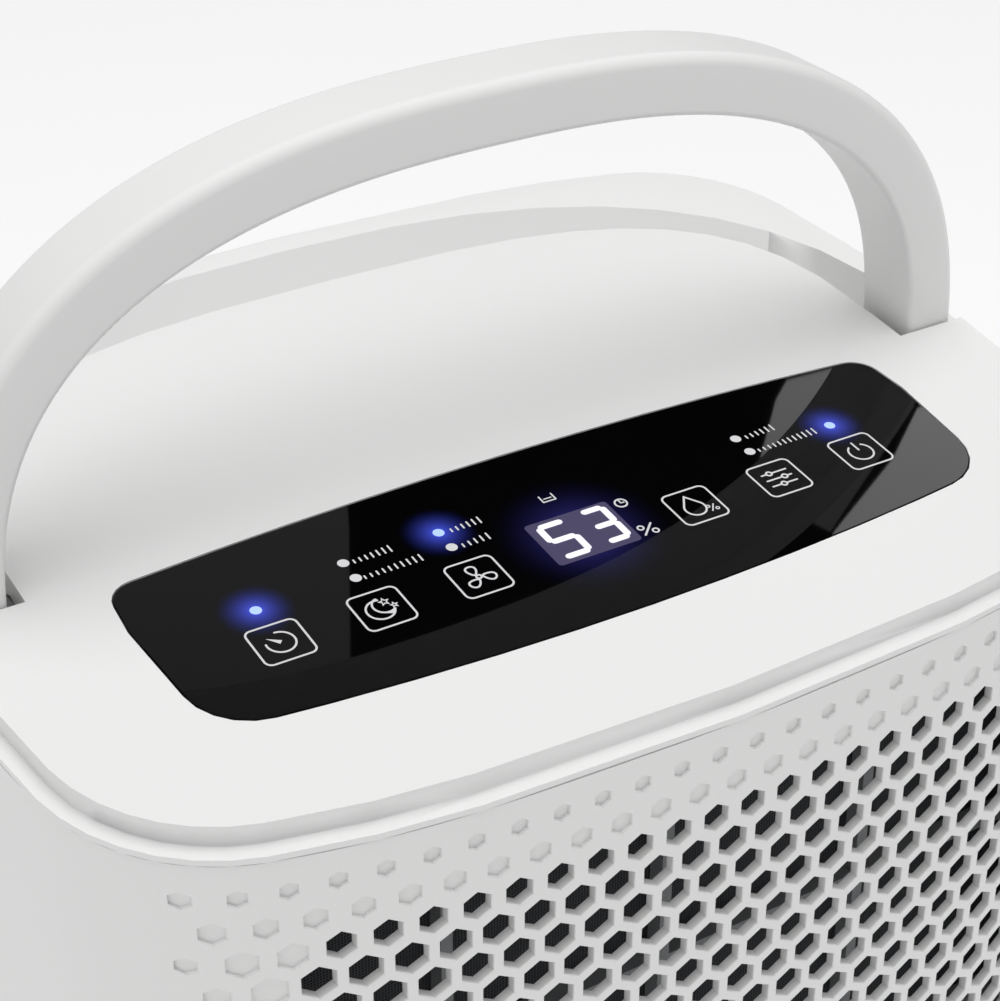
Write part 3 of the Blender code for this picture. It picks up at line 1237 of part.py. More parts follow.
# ---------------------------------------------------------------- electrical parts
def make_electrics():
    capacitor_x = EXCHANGER_HALF - 0.018
    profile = [
        (0, 0.060), (0.004, 0.060), (0.004, 0.056), (0.015, 0.056), (0.017, 0.054), (0.017, 0), (0, 0),
    ]
    capacitor = turned("run_capacitor", profile, steps=14)
    capacitor.location = (capacitor_x, COMPRESSOR_Y - 0.008, BASE_TOP + GAP)
    publish(capacitor, "run_capacitor", "white_abs")
    front = TANK_FRONT_Y - 0.0305
    board = box("power_board", (0.050, EXCHANGER_HALF + 0.020), (front, front + BOARD_THICKNESS), (BASE_TOP + 0.004, 0.122))
    join(
        board,
        box("relay", (0.060, 0.076), (front + 0.001, front + 0.016), (0.060, 0.080)),
        box("transformer", (0.084, 0.106), (front + 0.001, front + 0.020), (0.056, 0.078)),
        box("terminal block", (0.062, 0.104), (front + 0.001, front + 0.010), (0.096, 0.106)),
    )
    publish(board, "power_board", "green_board")
    left = -(EXCHANGER_HALF + 0.032)
    sensor = box(
        "humidity_sensor", (left, left + 0.016), (EVAPORATOR_Y + 0.006, EVAPORATOR_Y + 0.010),
        (SHELF_TOP + GAP, SHELF_TOP + 0.032),
    )
    publish(sensor, "humidity_sensor", "grey_plastic")


make_base_tray()
make_castors()
make_chassis()
make_front_shell()
make_rear_shell()
make_top_cover()
make_cover_screws()
make_control_panel()
make_handle()
make_handle_pins()
make_cord_gland()
make_water_tank()
make_tank_lid()
make_tank_float()
make_tank_switch()
make_drip_tray()
make_drain()
make_filter()
make_exchanger("evaporator", EVAPORATOR_Y)
make_exchanger("condenser", CONDENSER_Y)
make_compressor()
make_accumulator()
make_pipes()
make_fan_shroud()
make_fan_impeller()
make_fan_motor()
make_motor_bracket()
make_electrics()
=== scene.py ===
import json
from math import cos, pi, radians, sin, sqrt, tan

import bmesh
import bpy
from mathutils import Matrix, Vector

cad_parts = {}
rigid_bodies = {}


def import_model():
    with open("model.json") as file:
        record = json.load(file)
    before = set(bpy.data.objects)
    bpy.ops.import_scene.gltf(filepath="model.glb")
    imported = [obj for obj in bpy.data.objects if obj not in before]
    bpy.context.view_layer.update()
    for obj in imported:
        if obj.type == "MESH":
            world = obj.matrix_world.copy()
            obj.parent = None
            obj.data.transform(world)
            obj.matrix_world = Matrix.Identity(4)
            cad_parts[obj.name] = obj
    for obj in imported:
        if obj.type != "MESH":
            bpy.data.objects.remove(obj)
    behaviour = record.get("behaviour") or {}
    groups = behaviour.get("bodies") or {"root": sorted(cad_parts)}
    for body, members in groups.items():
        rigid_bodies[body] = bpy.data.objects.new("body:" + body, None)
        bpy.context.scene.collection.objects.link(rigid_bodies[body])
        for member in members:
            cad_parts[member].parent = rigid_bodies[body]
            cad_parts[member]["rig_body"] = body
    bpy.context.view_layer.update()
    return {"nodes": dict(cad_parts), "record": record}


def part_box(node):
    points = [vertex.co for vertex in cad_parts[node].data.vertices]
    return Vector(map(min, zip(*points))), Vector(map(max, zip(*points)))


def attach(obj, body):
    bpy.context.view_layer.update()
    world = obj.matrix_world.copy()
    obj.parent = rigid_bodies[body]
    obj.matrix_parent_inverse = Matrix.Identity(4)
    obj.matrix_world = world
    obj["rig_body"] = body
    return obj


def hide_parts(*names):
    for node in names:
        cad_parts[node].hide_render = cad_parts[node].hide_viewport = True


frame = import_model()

nodes = frame["nodes"]

# ---- shader maths: a Wire is a socket's value, a Bench is one material's nodes


class Wire:
    def __init__(self, bench, socket):
        self.bench = bench
        self.socket = socket

    def maths(self, operation, first, second):
        return self.bench.node("Math", {"operation": operation}, {0: first, 1: second})

    def __add__(self, other):
        return self.maths("ADD", self, other)

    def __sub__(self, other):
        return self.maths("SUBTRACT", self, other)

    def __rsub__(self, other):
        return self.maths("SUBTRACT", other, self)

    def __mul__(self, other):
        return self.maths("MULTIPLY", self, other)

    def __truediv__(self, other):
        return self.maths("DIVIDE", self, other)

    def __pow__(self, other):
        return self.maths("POWER", self, other)

    def __lt__(self, other):
        return self.maths("LESS_THAN", self, other)

    __radd__ = __add__
    __rmul__ = __mul__

    def atLeast(self, floor):
        return self.maths("MAXIMUM", self, floor)

    def fraction(self):
        return self.maths("FRACT", self, 0.0)


class Bench:
    def __init__(self, name):
        self.material = bpy.data.materials.new(name)
        self.material.use_nodes = True
        self.tree = self.material.node_tree
        self.tree.nodes.clear()

    def node(self, kind, settings=None, sockets=None, output=0):
        made = self.tree.nodes.new("ShaderNode" + kind)
        for name, value in (settings or {}).items():
            if name == "stops":
                ramp = made.color_ramp
                ramp.elements[0].position, ramp.elements[0].color = value[0]
                ramp.elements[1].position, ramp.elements[1].color = value[-1]
                for place, colour in value[1:-1]:
                    ramp.elements.new(place).color = colour
            else:
                setattr(made, name, value)
        for name, value in (sockets or {}).items():
            if isinstance(value, Wire):
                self.tree.links.new(value.socket, made.inputs[name])
            elif made.inputs[name].type == "VECTOR":
                made.inputs[name].default_value = value[:3]
            else:
                made.inputs[name].default_value = value
        return Wire(self, made.outputs[output]) if made.outputs else None

    def place(self, axis=None):
        # where a point is on the object, in metres, or one of its three parts
        spot = self.node("TexCoord", output="Object")
        if axis is None:
            return spot
        return self.node("SeparateXYZ", None, {0: spot}, axis)

    def noise(self, scale, detail=2.0, roughness=0.5, stretch=(1, 1, 1)):
        spot = self.node("Mapping", None, {"Vector": self.place(), "Scale": stretch})
        sockets = {"Vector": spot, "Scale": scale, "Detail": detail, "Roughness": roughness}
        return self.node("TexNoise", None, sockets)

    def mix(self, share, first, second, kind="MIX"):
        settings = {"data_type": "RGBA", "blend_type": kind}
        return self.node("Mix", settings, {0: share, 6: first, 7: second}, 2)

    def scaled(self, colour, amount):
        return self.node("VectorMath", {"operation": "SCALE"}, {0: colour, "Scale": amount})

    def summed(self, first, second):
        return self.node("VectorMath", {"operation": "ADD"}, {0: first, 1: second})

    def awayFrom(self, point):
        return self.node("VectorMath", {"operation": "DISTANCE"}, {0: self.place(), 1: point}, 1)

    def bump(self, height, depth, strength=1.0):
        return self.node("Bump", None, {"Height": height, "Distance": depth, "Strength": strength})

    def surface(self, **sockets):
        names = {}
        for name, value in sockets.items():
            names[name.replace("_", " ").title().replace("Ior", "IOR")] = value
        shader = self.node("BsdfPrincipled", None, names)
        self.node("OutputMaterial", None, {"Surface": shader})
        return self.material


def grey(level):
    return (level, level, level, 1.0)


# ---- finishes

plastics = {  # colour, roughness, grain size per metre, grain depth, how far the tone drifts
    "white_abs": ((0.84, 0.84, 0.835), 0.42, 2600, 0.000006, 0.006),
    "black_plastic": ((0.014, 0.014, 0.015), 0.50, 1800, 0.000012, 0.15),
    "grey_plastic": ((0.30, 0.31, 0.32), 0.48, 2000, 0.00001, 0.05),
    "dark_grey_plastic": ((0.075, 0.076, 0.08), 0.55, 1500, 0.00002, 0.10),
    "rubber": ((0.028, 0.028, 0.028), 0.82, 1200, 0.00003, 0.20),
    "compressor_black": ((0.013, 0.013, 0.015), 0.38, 700, 0.00004, 0.20),
}
metals = {  # colour, roughness, brushing stretch, brushing depth
    "steel": ((0.56, 0.56, 0.57), 0.34, (1, 1, 30), 0.000008),
    "copper": ((0.76, 0.37, 0.22), 0.28, (8, 8, 8), 0.00001),
    "aluminium": ((0.78, 0.79, 0.80), 0.36, (1, 1, 1), 0.00001),
}


def plasticFinish(name):
    colour, roughness, grain, depth, drift = plastics[name]
    bench = Bench(name)
    fine = bench.noise(grain, 3.0, 0.6)
    broad = bench.noise(14, 2.0)
    darker = (*[part * (1 - drift) for part in colour], 1.0)
    lighter = (*[min(1.0, part * (1 + drift)) for part in colour], 1.0)
    return bench.surface(
        base_color=bench.mix(broad, darker, lighter),
        roughness=roughness - 0.04 + 0.08 * fine,
        normal=bench.bump(fine, depth, 0.6),
    )


def metalFinish(name):
    colour, roughness, stretch, depth = metals[name]
    bench = Bench(name)
    streaks = bench.noise(900, 3.0, 0.6, stretch)
    tarnish = bench.noise(45, 4.0, 0.6)
    dull = (*[part * 0.72 for part in colour], 1.0)
    return bench.surface(
        base_color=bench.mix(tarnish, dull, (*colour, 1.0)),
        roughness=roughness - 0.1 + 0.2 * streaks,
        metallic=1.0,
        normal=bench.bump(streaks, depth, 0.5),
    )


def boardFinish():
    # green lacquer over copper tracks
    bench = Bench("green_board")
    sockets = {"Vector": bench.place(), "Scale": 260.0}
    tracks = bench.node("TexVoronoi", {"feature": "DISTANCE_TO_EDGE"}, sockets)
    track = tracks < 0.08
    lacquer = bench.mix(bench.noise(60), (0.012, 0.12, 0.05, 1), (0.02, 0.17, 0.07, 1))
    return bench.surface(
        base_color=bench.mix(track, lacquer, (0.05, 0.30, 0.13, 1)),
        roughness=0.35 + 0.1 * track,
        normal=bench.bump(track, 0.00003, 0.6),
    )


netLook = {
    "threads": 1250.0,
    "thread": 0.34,
    "colour": (0.055, 0.058, 0.065, 1),
    # the holes' colour is painted shade, standing in for the dark inside seen through the net
    "deep": (0.012, 0.012, 0.014, 1),
}


def netFinish():
    # a woven net: threads both ways, with painted shade for the dark holes between
    bench = Bench("filter_net")
    along = [(bench.place(axis) * netLook["threads"]).fraction() < netLook["thread"] for axis in (0, 2)]
    thread = along[0].atLeast(along[1])
    return bench.surface(
        base_color=bench.mix(thread, netLook["deep"], netLook["colour"]),
        roughness=0.9 - 0.2 * thread,
        normal=bench.bump(thread, 0.0002, 0.8),
    )


def tankFinish():
    # smoke-clear moulding with a faint sink pattern
    bench = Bench("clear_tank")
    ripple = bench.noise(60, 2.0)
    return bench.surface(
        base_color=bench.mix(ripple, (0.42, 0.46, 0.50, 1), (0.52, 0.56, 0.60, 1)),
        roughness=0.14 + 0.1 * bench.noise(2200, 2.0),
        alpha=0.50 + 0.12 * ripple,
        normal=bench.bump(ripple, 0.0002, 0.3),
    )


glassLook = {"colour": (0.0012, 0.0012, 0.0014, 1), "roughness": 0.018, "ior": 1.50, "sheen": 0.125}


def glassFinish():
    # back-painted black glass, with the faint waver of a moulded sheet and a painted glow where the lamps'
    # and display's light spreads in it
    bench = Bench("black_glass")
    waver = bench.noise(22, 1.0)
    glow = bench.scaled(grey(0.0), 1.0)
    # painted glow: each halo adds emission round a lamp or the display
    for u, v, reach, colour in halos:
        nearness = (1.0 - bench.awayFrom(onPanel(u, v)) * (1 / reach)).atLeast(0.0) ** 2.4
        glow = bench.summed(glow, bench.scaled(colour, nearness))
    return bench.surface(
        emission_color=glow,
        emission_strength=1.0,
        base_color=bench.mix(waver, glassLook["colour"], (0.0016, 0.0016, 0.002, 1)),
        roughness=glassLook["roughness"] + 0.006 * waver,
        ior=glassLook["ior"],
        specular_ior_level=glassLook["sheen"],
        normal=bench.bump(waver, 0.00002, 0.2),
    )


def litFinish(name, colour, strength):
    # a printed or lit mark that gives off its own light; on the white print this glow is painted light
    bench = Bench(name)
    dimmer = (*[part * 0.96 for part in colour[:3]], 1)
    shade = bench.scaled(bench.mix(bench.noise(300), colour, dimmer), 1.0)
    return bench.surface(
        base_color=grey(0.02),
        roughness=0.5,
        emission_color=shade,
        emission_strength=strength,
    )


finishes = {name: plasticFinish(name) for name in plastics}
finishes.update({name: metalFinish(name) for name in metals})
finishes["green_board"] = boardFinish()
finishes["filter_net"] = netFinish()
finishes["clear_tank"] = tankFinish()
# the white print glows: painted light, standing in for the light that falls on white ink
finishes["print"] = litFinish("print", (0.80, 0.80, 0.82, 1), 0.86)
finishes["digit"] = litFinish("digit", (0.90, 0.90, 1.0, 1), 1.15)
finishes["blue"] = litFinish("blue", (0.30, 0.42, 1.0, 1), 1.7)
finishes["window"] = litFinish("window", (0.055, 0.045, 0.115, 1), 1.0)
print("finishes made:", len(finishes))

# ---- mesh work


def asPiece(name, shape):
    mesh = bpy.data.meshes.new(name)
    shape.to_mesh(mesh)
    shape.free()
    piece = bpy.data.objects.new(name, mesh)
    bpy.context.scene.collection.objects.link(piece)
    return piece


def loft(rings, name="loft", hollow=False):
    # skins rings of equal count; hollow joins the last ring to the first
    shape = bmesh.new()
    rows = [[shape.verts.new(point) for point in ring] for ring in rings]
    pairs = list(zip(rows, rows[1:]))
    if hollow:
        pairs.append((rows[-1], rows[0]))
    for lower, upper in pairs:
        for index in range(len(lower)):
            shape.faces.new((lower[index - 1], lower[index], upper[index], upper[index - 1]))
    if not hollow:
        shape.faces.new(rows[0])
        shape.faces.new(rows[-1])
    bmesh.ops.recalc_face_normals(shape, faces=shape.faces)
    return asPiece(name, shape)


def prism(loop, bottom, top, name="prism"):
    return loft([[(x, y, bottom(y)) for x, y in loop], [(x, y, top(y)) for x, y in loop]], name)


def level(z):
    return lambda y: z


def brick(x, y, z, name="brick", edge=0.0):
    shape = bmesh.new()
    bmesh.ops.create_cube(shape, size=1.0)
    size = Matrix.Diagonal((x[1] - x[0], y[1] - y[0], z[1] - z[0], 1))
    middle = Matrix.Translation(((x[0] + x[1]) / 2, (y[0] + y[1]) / 2, (z[0] + z[1]) / 2))
    shape.transform(middle @ size)
    if edge:
        bmesh.ops.bevel(shape, geom=list(shape.edges), offset=edge, segments=3, profile=0.5, affect="EDGES")
    return asPiece(name, shape)


aims = {"X": Matrix.Rotation(pi / 2, 4, "Y"), "Y": Matrix.Rotation(-pi / 2, 4, "X"), "Z": Matrix.Identity(4)}


def turned(profile, centre=(0, 0, 0), aim="Z", steps=64, name="turned"):
    # profile of (radius, height) points, turned about an axis through centre; a zero radius ends it
    shape = bmesh.new()
    rows = []
    for radius, height in profile:
        if radius == 0:
            rows.append([shape.verts.new((0, 0, height))])
            continue
        turns = [2 * pi * step / steps for step in range(steps)]
        rows.append([shape.verts.new((radius * cos(turn), radius * sin(turn), height)) for turn in turns])
    pairs = list(zip(rows, rows[1:]))
    if profile[0][0] and profile[-1][0]:
        pairs.append((rows[-1], rows[0]))
    for lower, upper in pairs:
        for index in range(steps):
            around = ((lower, 1), (lower, 0), (upper, 0), (upper, 1))
            corners = [row[index - shift] for row, shift in around if len(row) > 1]
            ends = [row[0] for row in (lower, upper) if len(row) == 1]
            shape.faces.new(corners + ends)
    bmesh.ops.recalc_face_normals(shape, faces=shape.faces)
    shape.transform(Matrix.Translation(centre) @ aims[aim])
    return asPiece(name, shape)


def rod(start, radius, length, aim="Z", steps=40, edge=0.0):
    if edge:
        profile = [(0, 0), (radius - edge, 0), (radius, edge)]
        profile += [(radius, length - edge), (radius - edge, length), (0, length)]
    else:
        profile = [(0, 0), (radius, 0), (radius, length), (0, length)]
    return turned(profile, start, aim, steps, "rod")


def solved(piece):
    # bakes the modifiers in
    mesh = bpy.data.meshes.new_from_object(piece.evaluated_get(bpy.context.evaluated_depsgraph_get()))
    piece.modifiers.clear()
    piece.data = mesh
    return piece


def combine(piece, operation, others):
    for other in others:
        step = piece.modifiers.new(operation, "BOOLEAN")
        step.operation = operation
        step.object = other
        step.solver = "EXACT"
        solved(piece)
        bpy.data.objects.remove(other)
    return piece


def cut(piece, *others):
    return combine(piece, "DIFFERENCE", others)


def join(piece, *others):
    return combine(piece, "UNION", others)


def finished(piece, name, slot, body="casing", stands=(), sharp=32, weigh=True, finish=None):
    # names a piece, shades it, gives it its finish and body
    piece.name = name
    piece.data.name = name
    shape = bmesh.new()
    shape.from_mesh(piece.data)
    bmesh.ops.remove_doubles(shape, verts=shape.verts, dist=0.000002)
    bmesh.ops.dissolve_degenerate(shape, edges=shape.edges, dist=0.000002)
    shape.to_mesh(piece.data)
    shape.free()
    piece.data.shade_smooth()
    piece.data.set_sharp_from_angle(angle=radians(sharp))
    if weigh:
        piece.modifiers.new("even shading", "WEIGHTED_NORMAL").keep_sharp = True
    piece.data.materials.clear()
    piece.data.materials.append(finishes[finish or slot])
    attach(piece, body)
    if stands:
        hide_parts(*stands)
    return piece


# ---- the casing's outline and its tilted top

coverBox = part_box("top_cover")
casing = {
    "tilt": radians(6.5),
    "arcs": ((0.9085, 4.04), (0.2534, 10.29), (0.0462, 64.99), (0.3536, 10.68)),  # radius, degrees
    "arcStep": 1.1,  # degrees of outline for each face
    "seam": 0.0004,
    "wall": 0.0025,
    "ledgeDrop": 0.005,
    "rimThickness": 0.0015,
    "shellBottom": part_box("front_shell")[0].z,
}
halfWidth = coverBox[1].x
halfDepth = coverBox[1].y
plateau = {"reach": 0.0793, "pivotY": -0.0025}
topAtOrigin = coverBox[1].z - (plateau["pivotY"] + plateau["reach"]) * tan(casing["tilt"])


def under(depth):
    # a surface parallel to the tilted top, a depth below it
    return lambda y: topAtOrigin + y * tan(casing["tilt"]) - depth / cos(casing["tilt"])


def offset(loop, distance):
    # moves a counter-clockwise loop outwards
    moved = []
    for before, here, after in zip(loop[-1:] + loop[:-1], loop, loop[1:] + loop[:1]):
        arriving = (Vector(here) - Vector(before)).normalized()
        leaving = (Vector(after) - Vector(here)).normalized()
        normal = Vector((arriving.y + leaving.y, -arriving.x - leaving.x)).normalized()
        moved.append(tuple(Vector(here) + normal * distance / normal.dot(Vector((arriving.y, -arriving.x)))))
    return moved


def quarterPlan():
    x, y, heading = 0.0, 0.0, 0.0
    points = [(x, y)]
    for radius, degrees in casing["arcs"]:
        steps = 1 + round(degrees / casing["arcStep"])
        turn = radians(degrees) / steps
        for _ in range(steps):
            x += radius * (sin(heading + turn) - sin(heading))
            y += radius * (cos(heading) - cos(heading + turn))
            heading += turn
            points.append((x, y))
    return [(px * halfWidth / x, py * halfDepth / y - halfDepth) for px, py in points]


quarter = quarterPlan()
rightSide = quarter + [(x, -y) for x, y in reversed(quarter[:-1])]
outline = rightSide + [(-x, y) for x, y in reversed(rightSide[1:-1])]


def plan(inset=0.0):
    return offset(outline, -inset)


def wallY(x, inset=0.0):
    # how far back the front wall is at x
    half = plan(inset)[: len(quarter)]
    for (x0, y0), (x1, y1) in zip(half, half[1:]):
        if x0 <= abs(x) <= x1:
            return y0 + (y1 - y0) * (abs(x) - x0) / (x1 - x0)
    return half[-1][1]


def bow(halfSpan, reach, power, count=72):
    # half a superellipse from +X over +Y to -X
    points = []
    for index in range(count + 1):
        angle = pi * index / count
        side = 1 if angle < pi / 2 else -1
        points.append((halfSpan * side * abs(cos(angle)) ** (2 / power), reach * sin(angle) ** (2 / power)))
    points[-1] = (-halfSpan, 0.0)
    return points


def evenly(points, count):
    # the same line with its points spaced evenly
    lengths = [0.0]
    for before, here in zip(points, points[1:]):
        lengths.append(lengths[-1] + (Vector(here) - Vector(before)).length)
    result = []
    segment = 0
    for index in range(count):
        target = lengths[-1] * index / (count - 1)
        while segment < len(points) - 2 and lengths[segment + 1] < target:
            segment += 1
        share = (target - lengths[segment]) / (lengths[segment + 1] - lengths[segment])
        result.append(tuple(Vector(points[segment]).lerp(Vector(points[segment + 1]), share)))
    return result


# ---- moulded pieces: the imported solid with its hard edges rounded

softEdges = {  # edge radius
    "top_cover": 0.0005,
    "rear_shell": 0.0004,
    "base_tray": 0.0006,
    "tank_lid": 0.0004,
    "drain_cap": 0.0005,
    "cord_gland": 0.0004,
    "castor_fork_front_left": 0.0004,
    "castor_fork_front_right": 0.0004,
    "castor_fork_rear_left": 0.0004,
    "castor_fork_rear_right": 0.0004,
    "castor_wheel_front_left": 0.0008,
    "castor_wheel_front_right": 0.0008,
    "castor_wheel_rear_left": 0.0008,
    "castor_wheel_rear_right": 0.0008,
}
slotOf = {part["node"]: part["material_slot"] for part in frame["record"]["subparts"]}


def softened(name, radius):
    source = nodes[name]
    shape = bmesh.new()
    shape.from_mesh(source.data)
    shape.transform(source.matrix_world)
    bmesh.ops.remove_doubles(shape, verts=shape.verts, dist=0.000005)
    bmesh.ops.dissolve_limit(shape, angle_limit=radians(0.6), verts=shape.verts, edges=shape.edges)
    piece = asPiece(name + " moulding", shape)
    step = piece.modifiers.new("soft edge", "BEVEL")
    step.width = radius
    step.segments = 2
    step.limit_method = "ANGLE"
    step.angle_limit = radians(38)
    step.use_clamp_overlap = True
    step.harden_normals = False
    solved(piece)
    return finished(piece, name + "_moulding", slotOf[name], source["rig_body"], (name,), 40)


panel = {
    "y": -0.05065,
    "halfWidth": 0.1076,
    "front": 0.0261,
    "back": 0.0381,
    "frontBow": 0.85,
    "backBow": 1.17,
    "frontCorner": 0.016,
    "backCorner": 0.007,
    "thickness": 0.0022,
    "gap": 0.00025,
    "edge": 0.00025,
}
panelPlace = Matrix.Translation((0, panel["y"], under(0)(panel["y"])))
panelFrame = panelPlace @ Matrix.Rotation(casing["tilt"], 4, "X")
halos = (  # u, v, reach, colour of the light that spreads in the glass
    (-0.080, 0.0121, 0.0098, (0.07, 0.10, 0.80, 1)),
    (-0.030, 0.0183, 0.0098, (0.07, 0.10, 0.80, 1)),
    (0.080, 0.0124, 0.0098, (0.07, 0.10, 0.80, 1)),
    (0.0, 0.0030, 0.0230, (0.035, 0.03, 0.22, 1)),
)


def onPanel(u, v, height=0.0):
    return tuple(panelFrame @ Vector((u, v, height)))


finishes["black_glass"] = glassFinish()


def rounded(corners, count=12):
    # a loop from (x, y, radius) corners
    loop = []
    for before, here, after in zip(corners[-1:] + corners[:-1], corners, corners[1:] + corners[:1]):
        point = Vector(here[:2])
        if here[2] == 0:
            loop.append(tuple(point))
            continue
        back = (Vector(before[:2]) - point).normalized()
        ahead = (Vector(after[:2]) - point).normalized()
        half = back.angle(ahead) / 2
        centre = point + (back + ahead).normalized() * here[2] / sin(half)
        start = (point + back * here[2] / tan(half) - centre).normalized()
        end = (point + ahead * here[2] / tan(half) - centre).normalized()
        loop += [tuple(centre + start.slerp(end, index / count) * here[2]) for index in range(count + 1)]
    return loop


def panelLoop(grow=0.0):
    frontX = panel["halfWidth"] - 0.0028
    backX = panel["halfWidth"] - 0.0012
    spread = [index / 100 for index in range(-8, 9)]
    front = [(x, -panel["front"] + x**2 / (2 * panel["frontBow"]), 0) for x in spread]
    back = [(-x, panel["back"] - x**2 / (2 * panel["backBow"]), 0) for x in spread]
    frontY = -panel["front"] + frontX**2 / (2 * panel["frontBow"])
    backY = panel["back"] - backX**2 / (2 * panel["backBow"])
    widest = (panel["halfWidth"], backY - 0.0155, 0.03)
    right = [(frontX, frontY, panel["frontCorner"]), widest, (backX, backY, panel["backCorner"])]
    left = [(-x, y, radius) for x, y, radius in reversed(right)]
    return offset(rounded(front + right + back + left), grow)


for softName, softRadius in softEdges.items():
    softened(softName, softRadius)
print("mouldings made:", len(softEdges))

# ---- front shell with its honeycomb

grille = {
    "pitch": 0.010,  # between columns
    "first": 0.4551,  # height of the top row's middle
    "last": 0.150,
    "farthest": 0.1275,
    "fade": (0.0039, 0.0051, 0.0064, 0.0075),  # across the flats, from the edge of the field inwards
    "openRow": 2,  # rows and columns nearer the edge than this are only dimples
    "openX": 0.1005,
    "dimple": 0.0010,
    "chamfer": 0.00022,
}


def shellRing(name):
    rimDepth = casing["ledgeDrop"] + casing["rimThickness"] + 0.0004
    steps = [
        (casing["seam"] + 0.0006, casing["shellBottom"]), (casing["seam"], casing["shellBottom"] + 0.0006),
        (casing["seam"], None), (casing["seam"] + casing["wall"], None),
        (casing["seam"] + casing["wall"], casing["shellBottom"]),
    ]
    rings = []
    for inset, height in steps:
        rings.append([(x, y, under(rimDepth)(y) if height is None else height) for x, y in plan(inset)])
    return loft(rings, name, hollow=True)


def honeycomb():
    shape = bmesh.new()
    rowPitch = grille["pitch"] * cos(radians(30))
    rows = 1 + int((grille["first"] - grille["last"]) / rowPitch)
    fade = grille["fade"]
    for row in range(rows):
        z = grille["first"] - row * rowPitch
        fromEdge = min(row, rows - 1 - row)
        column = 0 if row % 2 else 0.5
        while column * grille["pitch"] < grille["farthest"]:
            reach = column * grille["pitch"]
            beside = int(round((0.125 - reach) / (grille["pitch"] / 2)))
            width = fade[min(fromEdge, beside, len(fade) - 1)]
            opened = fromEdge >= grille["openRow"] and reach <= grille["openX"]
            for side in ((1, -1) if column else (1,)):
                addHexagon(shape, side * reach, z, width, 0.012 if opened else grille["dimple"])
            column += 1
    bmesh.ops.recalc_face_normals(shape, faces=shape.faces)
    return asPiece("honeycomb", shape)


def addHexagon(shape, x, z, width, depth):
    # a six-sided plug with its point up; it flares at the wall's face
    radius = width / sqrt(3)
    chamfer = grille["chamfer"]
    rows = []
    for back, grown in ((depth, 0), (chamfer, 0), (-chamfer, 2 * chamfer), (-0.004, 2 * chamfer)):
        row = []
        for corner in range(6):
            angle = radians(60 * corner + 30)
            cx = x + (radius + grown) * cos(angle)
            cz = z + (radius + grown) * sin(angle)
            row.append(shape.verts.new((cx, wallY(cx, casing["seam"]) + back, cz)))
        rows.append(row)
    for lower, upper in zip(rows, rows[1:]):
        for index in range(6):
            shape.faces.new((lower[index - 1], lower[index], upper[index], upper[index - 1]))
    shape.faces.new(rows[0])
    shape.faces.new(rows[-1])


def makeFrontShell():
    shell = shellRing("front shell")
    cut(shell, brick((-0.3, 0.3), (-0.0002, 0.3), (0, 0.7)))
    low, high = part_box("filter_frame")
    gap = 0.0004
    slot = brick((0.11, 0.3), (low.y - gap, high.y + gap), (low.z - gap, high.z + gap))
    cut(shell, slot, honeycomb())
    return finished(shell, "front_casing", "white_abs", stands=("front_shell",), weigh=False)


makeFrontShell()
print("front casing made")

# ---- handle

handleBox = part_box("carry_handle")
handle = {
    "thickness": 0.0152,
    "power": 2.5,
    "outerFront": 0.0030,
    "rounds": 0.0016,
    "slack": 0.00006,
    "bore": 0.0045,
    "boreLength": 0.0132,
    "sections": 110,
}


def handleSection(thickness, depth):
    # (outwards, back) round the bar; the outer front edge is the softest
    half, soft, small = depth / 2, handle["outerFront"], handle["rounds"]
    corners = [(0, -half, small), (thickness, -half, soft), (thickness, half, small), (0, half, small)]
    return rounded(corners, 6)


def makeHandle():
    low, high = handleBox
    depth = high.y - low.y
    pivotY, pivotZ = (low.y + high.y) / 2, low.z + depth / 2
    reach, thickness = high.z - pivotZ, handle["thickness"]
    outer = evenly(bow(high.x, reach, handle["power"], 720), handle["sections"])
    section = handleSection(thickness, depth)
    rings = []
    for index, here in enumerate(outer):
        before, after = outer[max(index - 1, 0)], outer[min(index + 1, len(outer) - 1)]
        along = (Vector(after) - Vector(before)).normalized()
        if index in (0, len(outer) - 1):
            along = Vector((0, 1 if index == 0 else -1))
        outward = Vector((along.y, -along.x))
        root = Vector(here) - outward * thickness
        ring = []
        for out, back in section:
            spot = root + outward * out
            ring.append((spot.x, pivotY + back, pivotZ + spot.y))
        rings.append(ring)
    made = loft(rings, "handle bar")
    slack = handle["slack"]
    for side in (-1, 1):
        start = min(side * (high.x - thickness), side * high.x) + slack
        length = thickness - 2 * slack
        join(made, rod((start, pivotY, pivotZ), depth / 2 - slack, length, "X", 64, handle["rounds"]))
    for side in (-1, 1):
        inner = high.x - thickness - 0.001
        start = min(side * inner, side * (inner + handle["boreLength"]))
        cut(made, rod((start, pivotY, pivotZ), handle["bore"], handle["boreLength"], "X"))
    body = nodes["carry_handle"]["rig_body"]
    return finished(made, "handle_moulding", "white_abs", body, ("carry_handle",), 50)


makeHandle()
print("handle made")

# ---- control glass with its printed and lit marks

mark = {"low": 0.00001, "high": 0.00006, "line": 0.00048, "unit": 0.001}


def makeGlass():
    rings = []
    edge = panel["edge"]
    for inset, height in ((edge, -panel["thickness"]), (0, edge - panel["thickness"]), (0, -edge), (edge, 0)):
        rings.append([(x, y, height) for x, y in panelLoop(-inset)])
    glass = loft(rings, "glass")
    glass.data.transform(panelFrame)
    return finished(glass, "glass_sheet", "black_glass", stands=("control_glass",))


def arc(u, v, radius, start, end, count=24):
    turns = [radians(start + (end - start) * step / count) for step in range(count + 1)]
    return [(u + radius * cos(turn), v + radius * sin(turn)) for turn in turns]


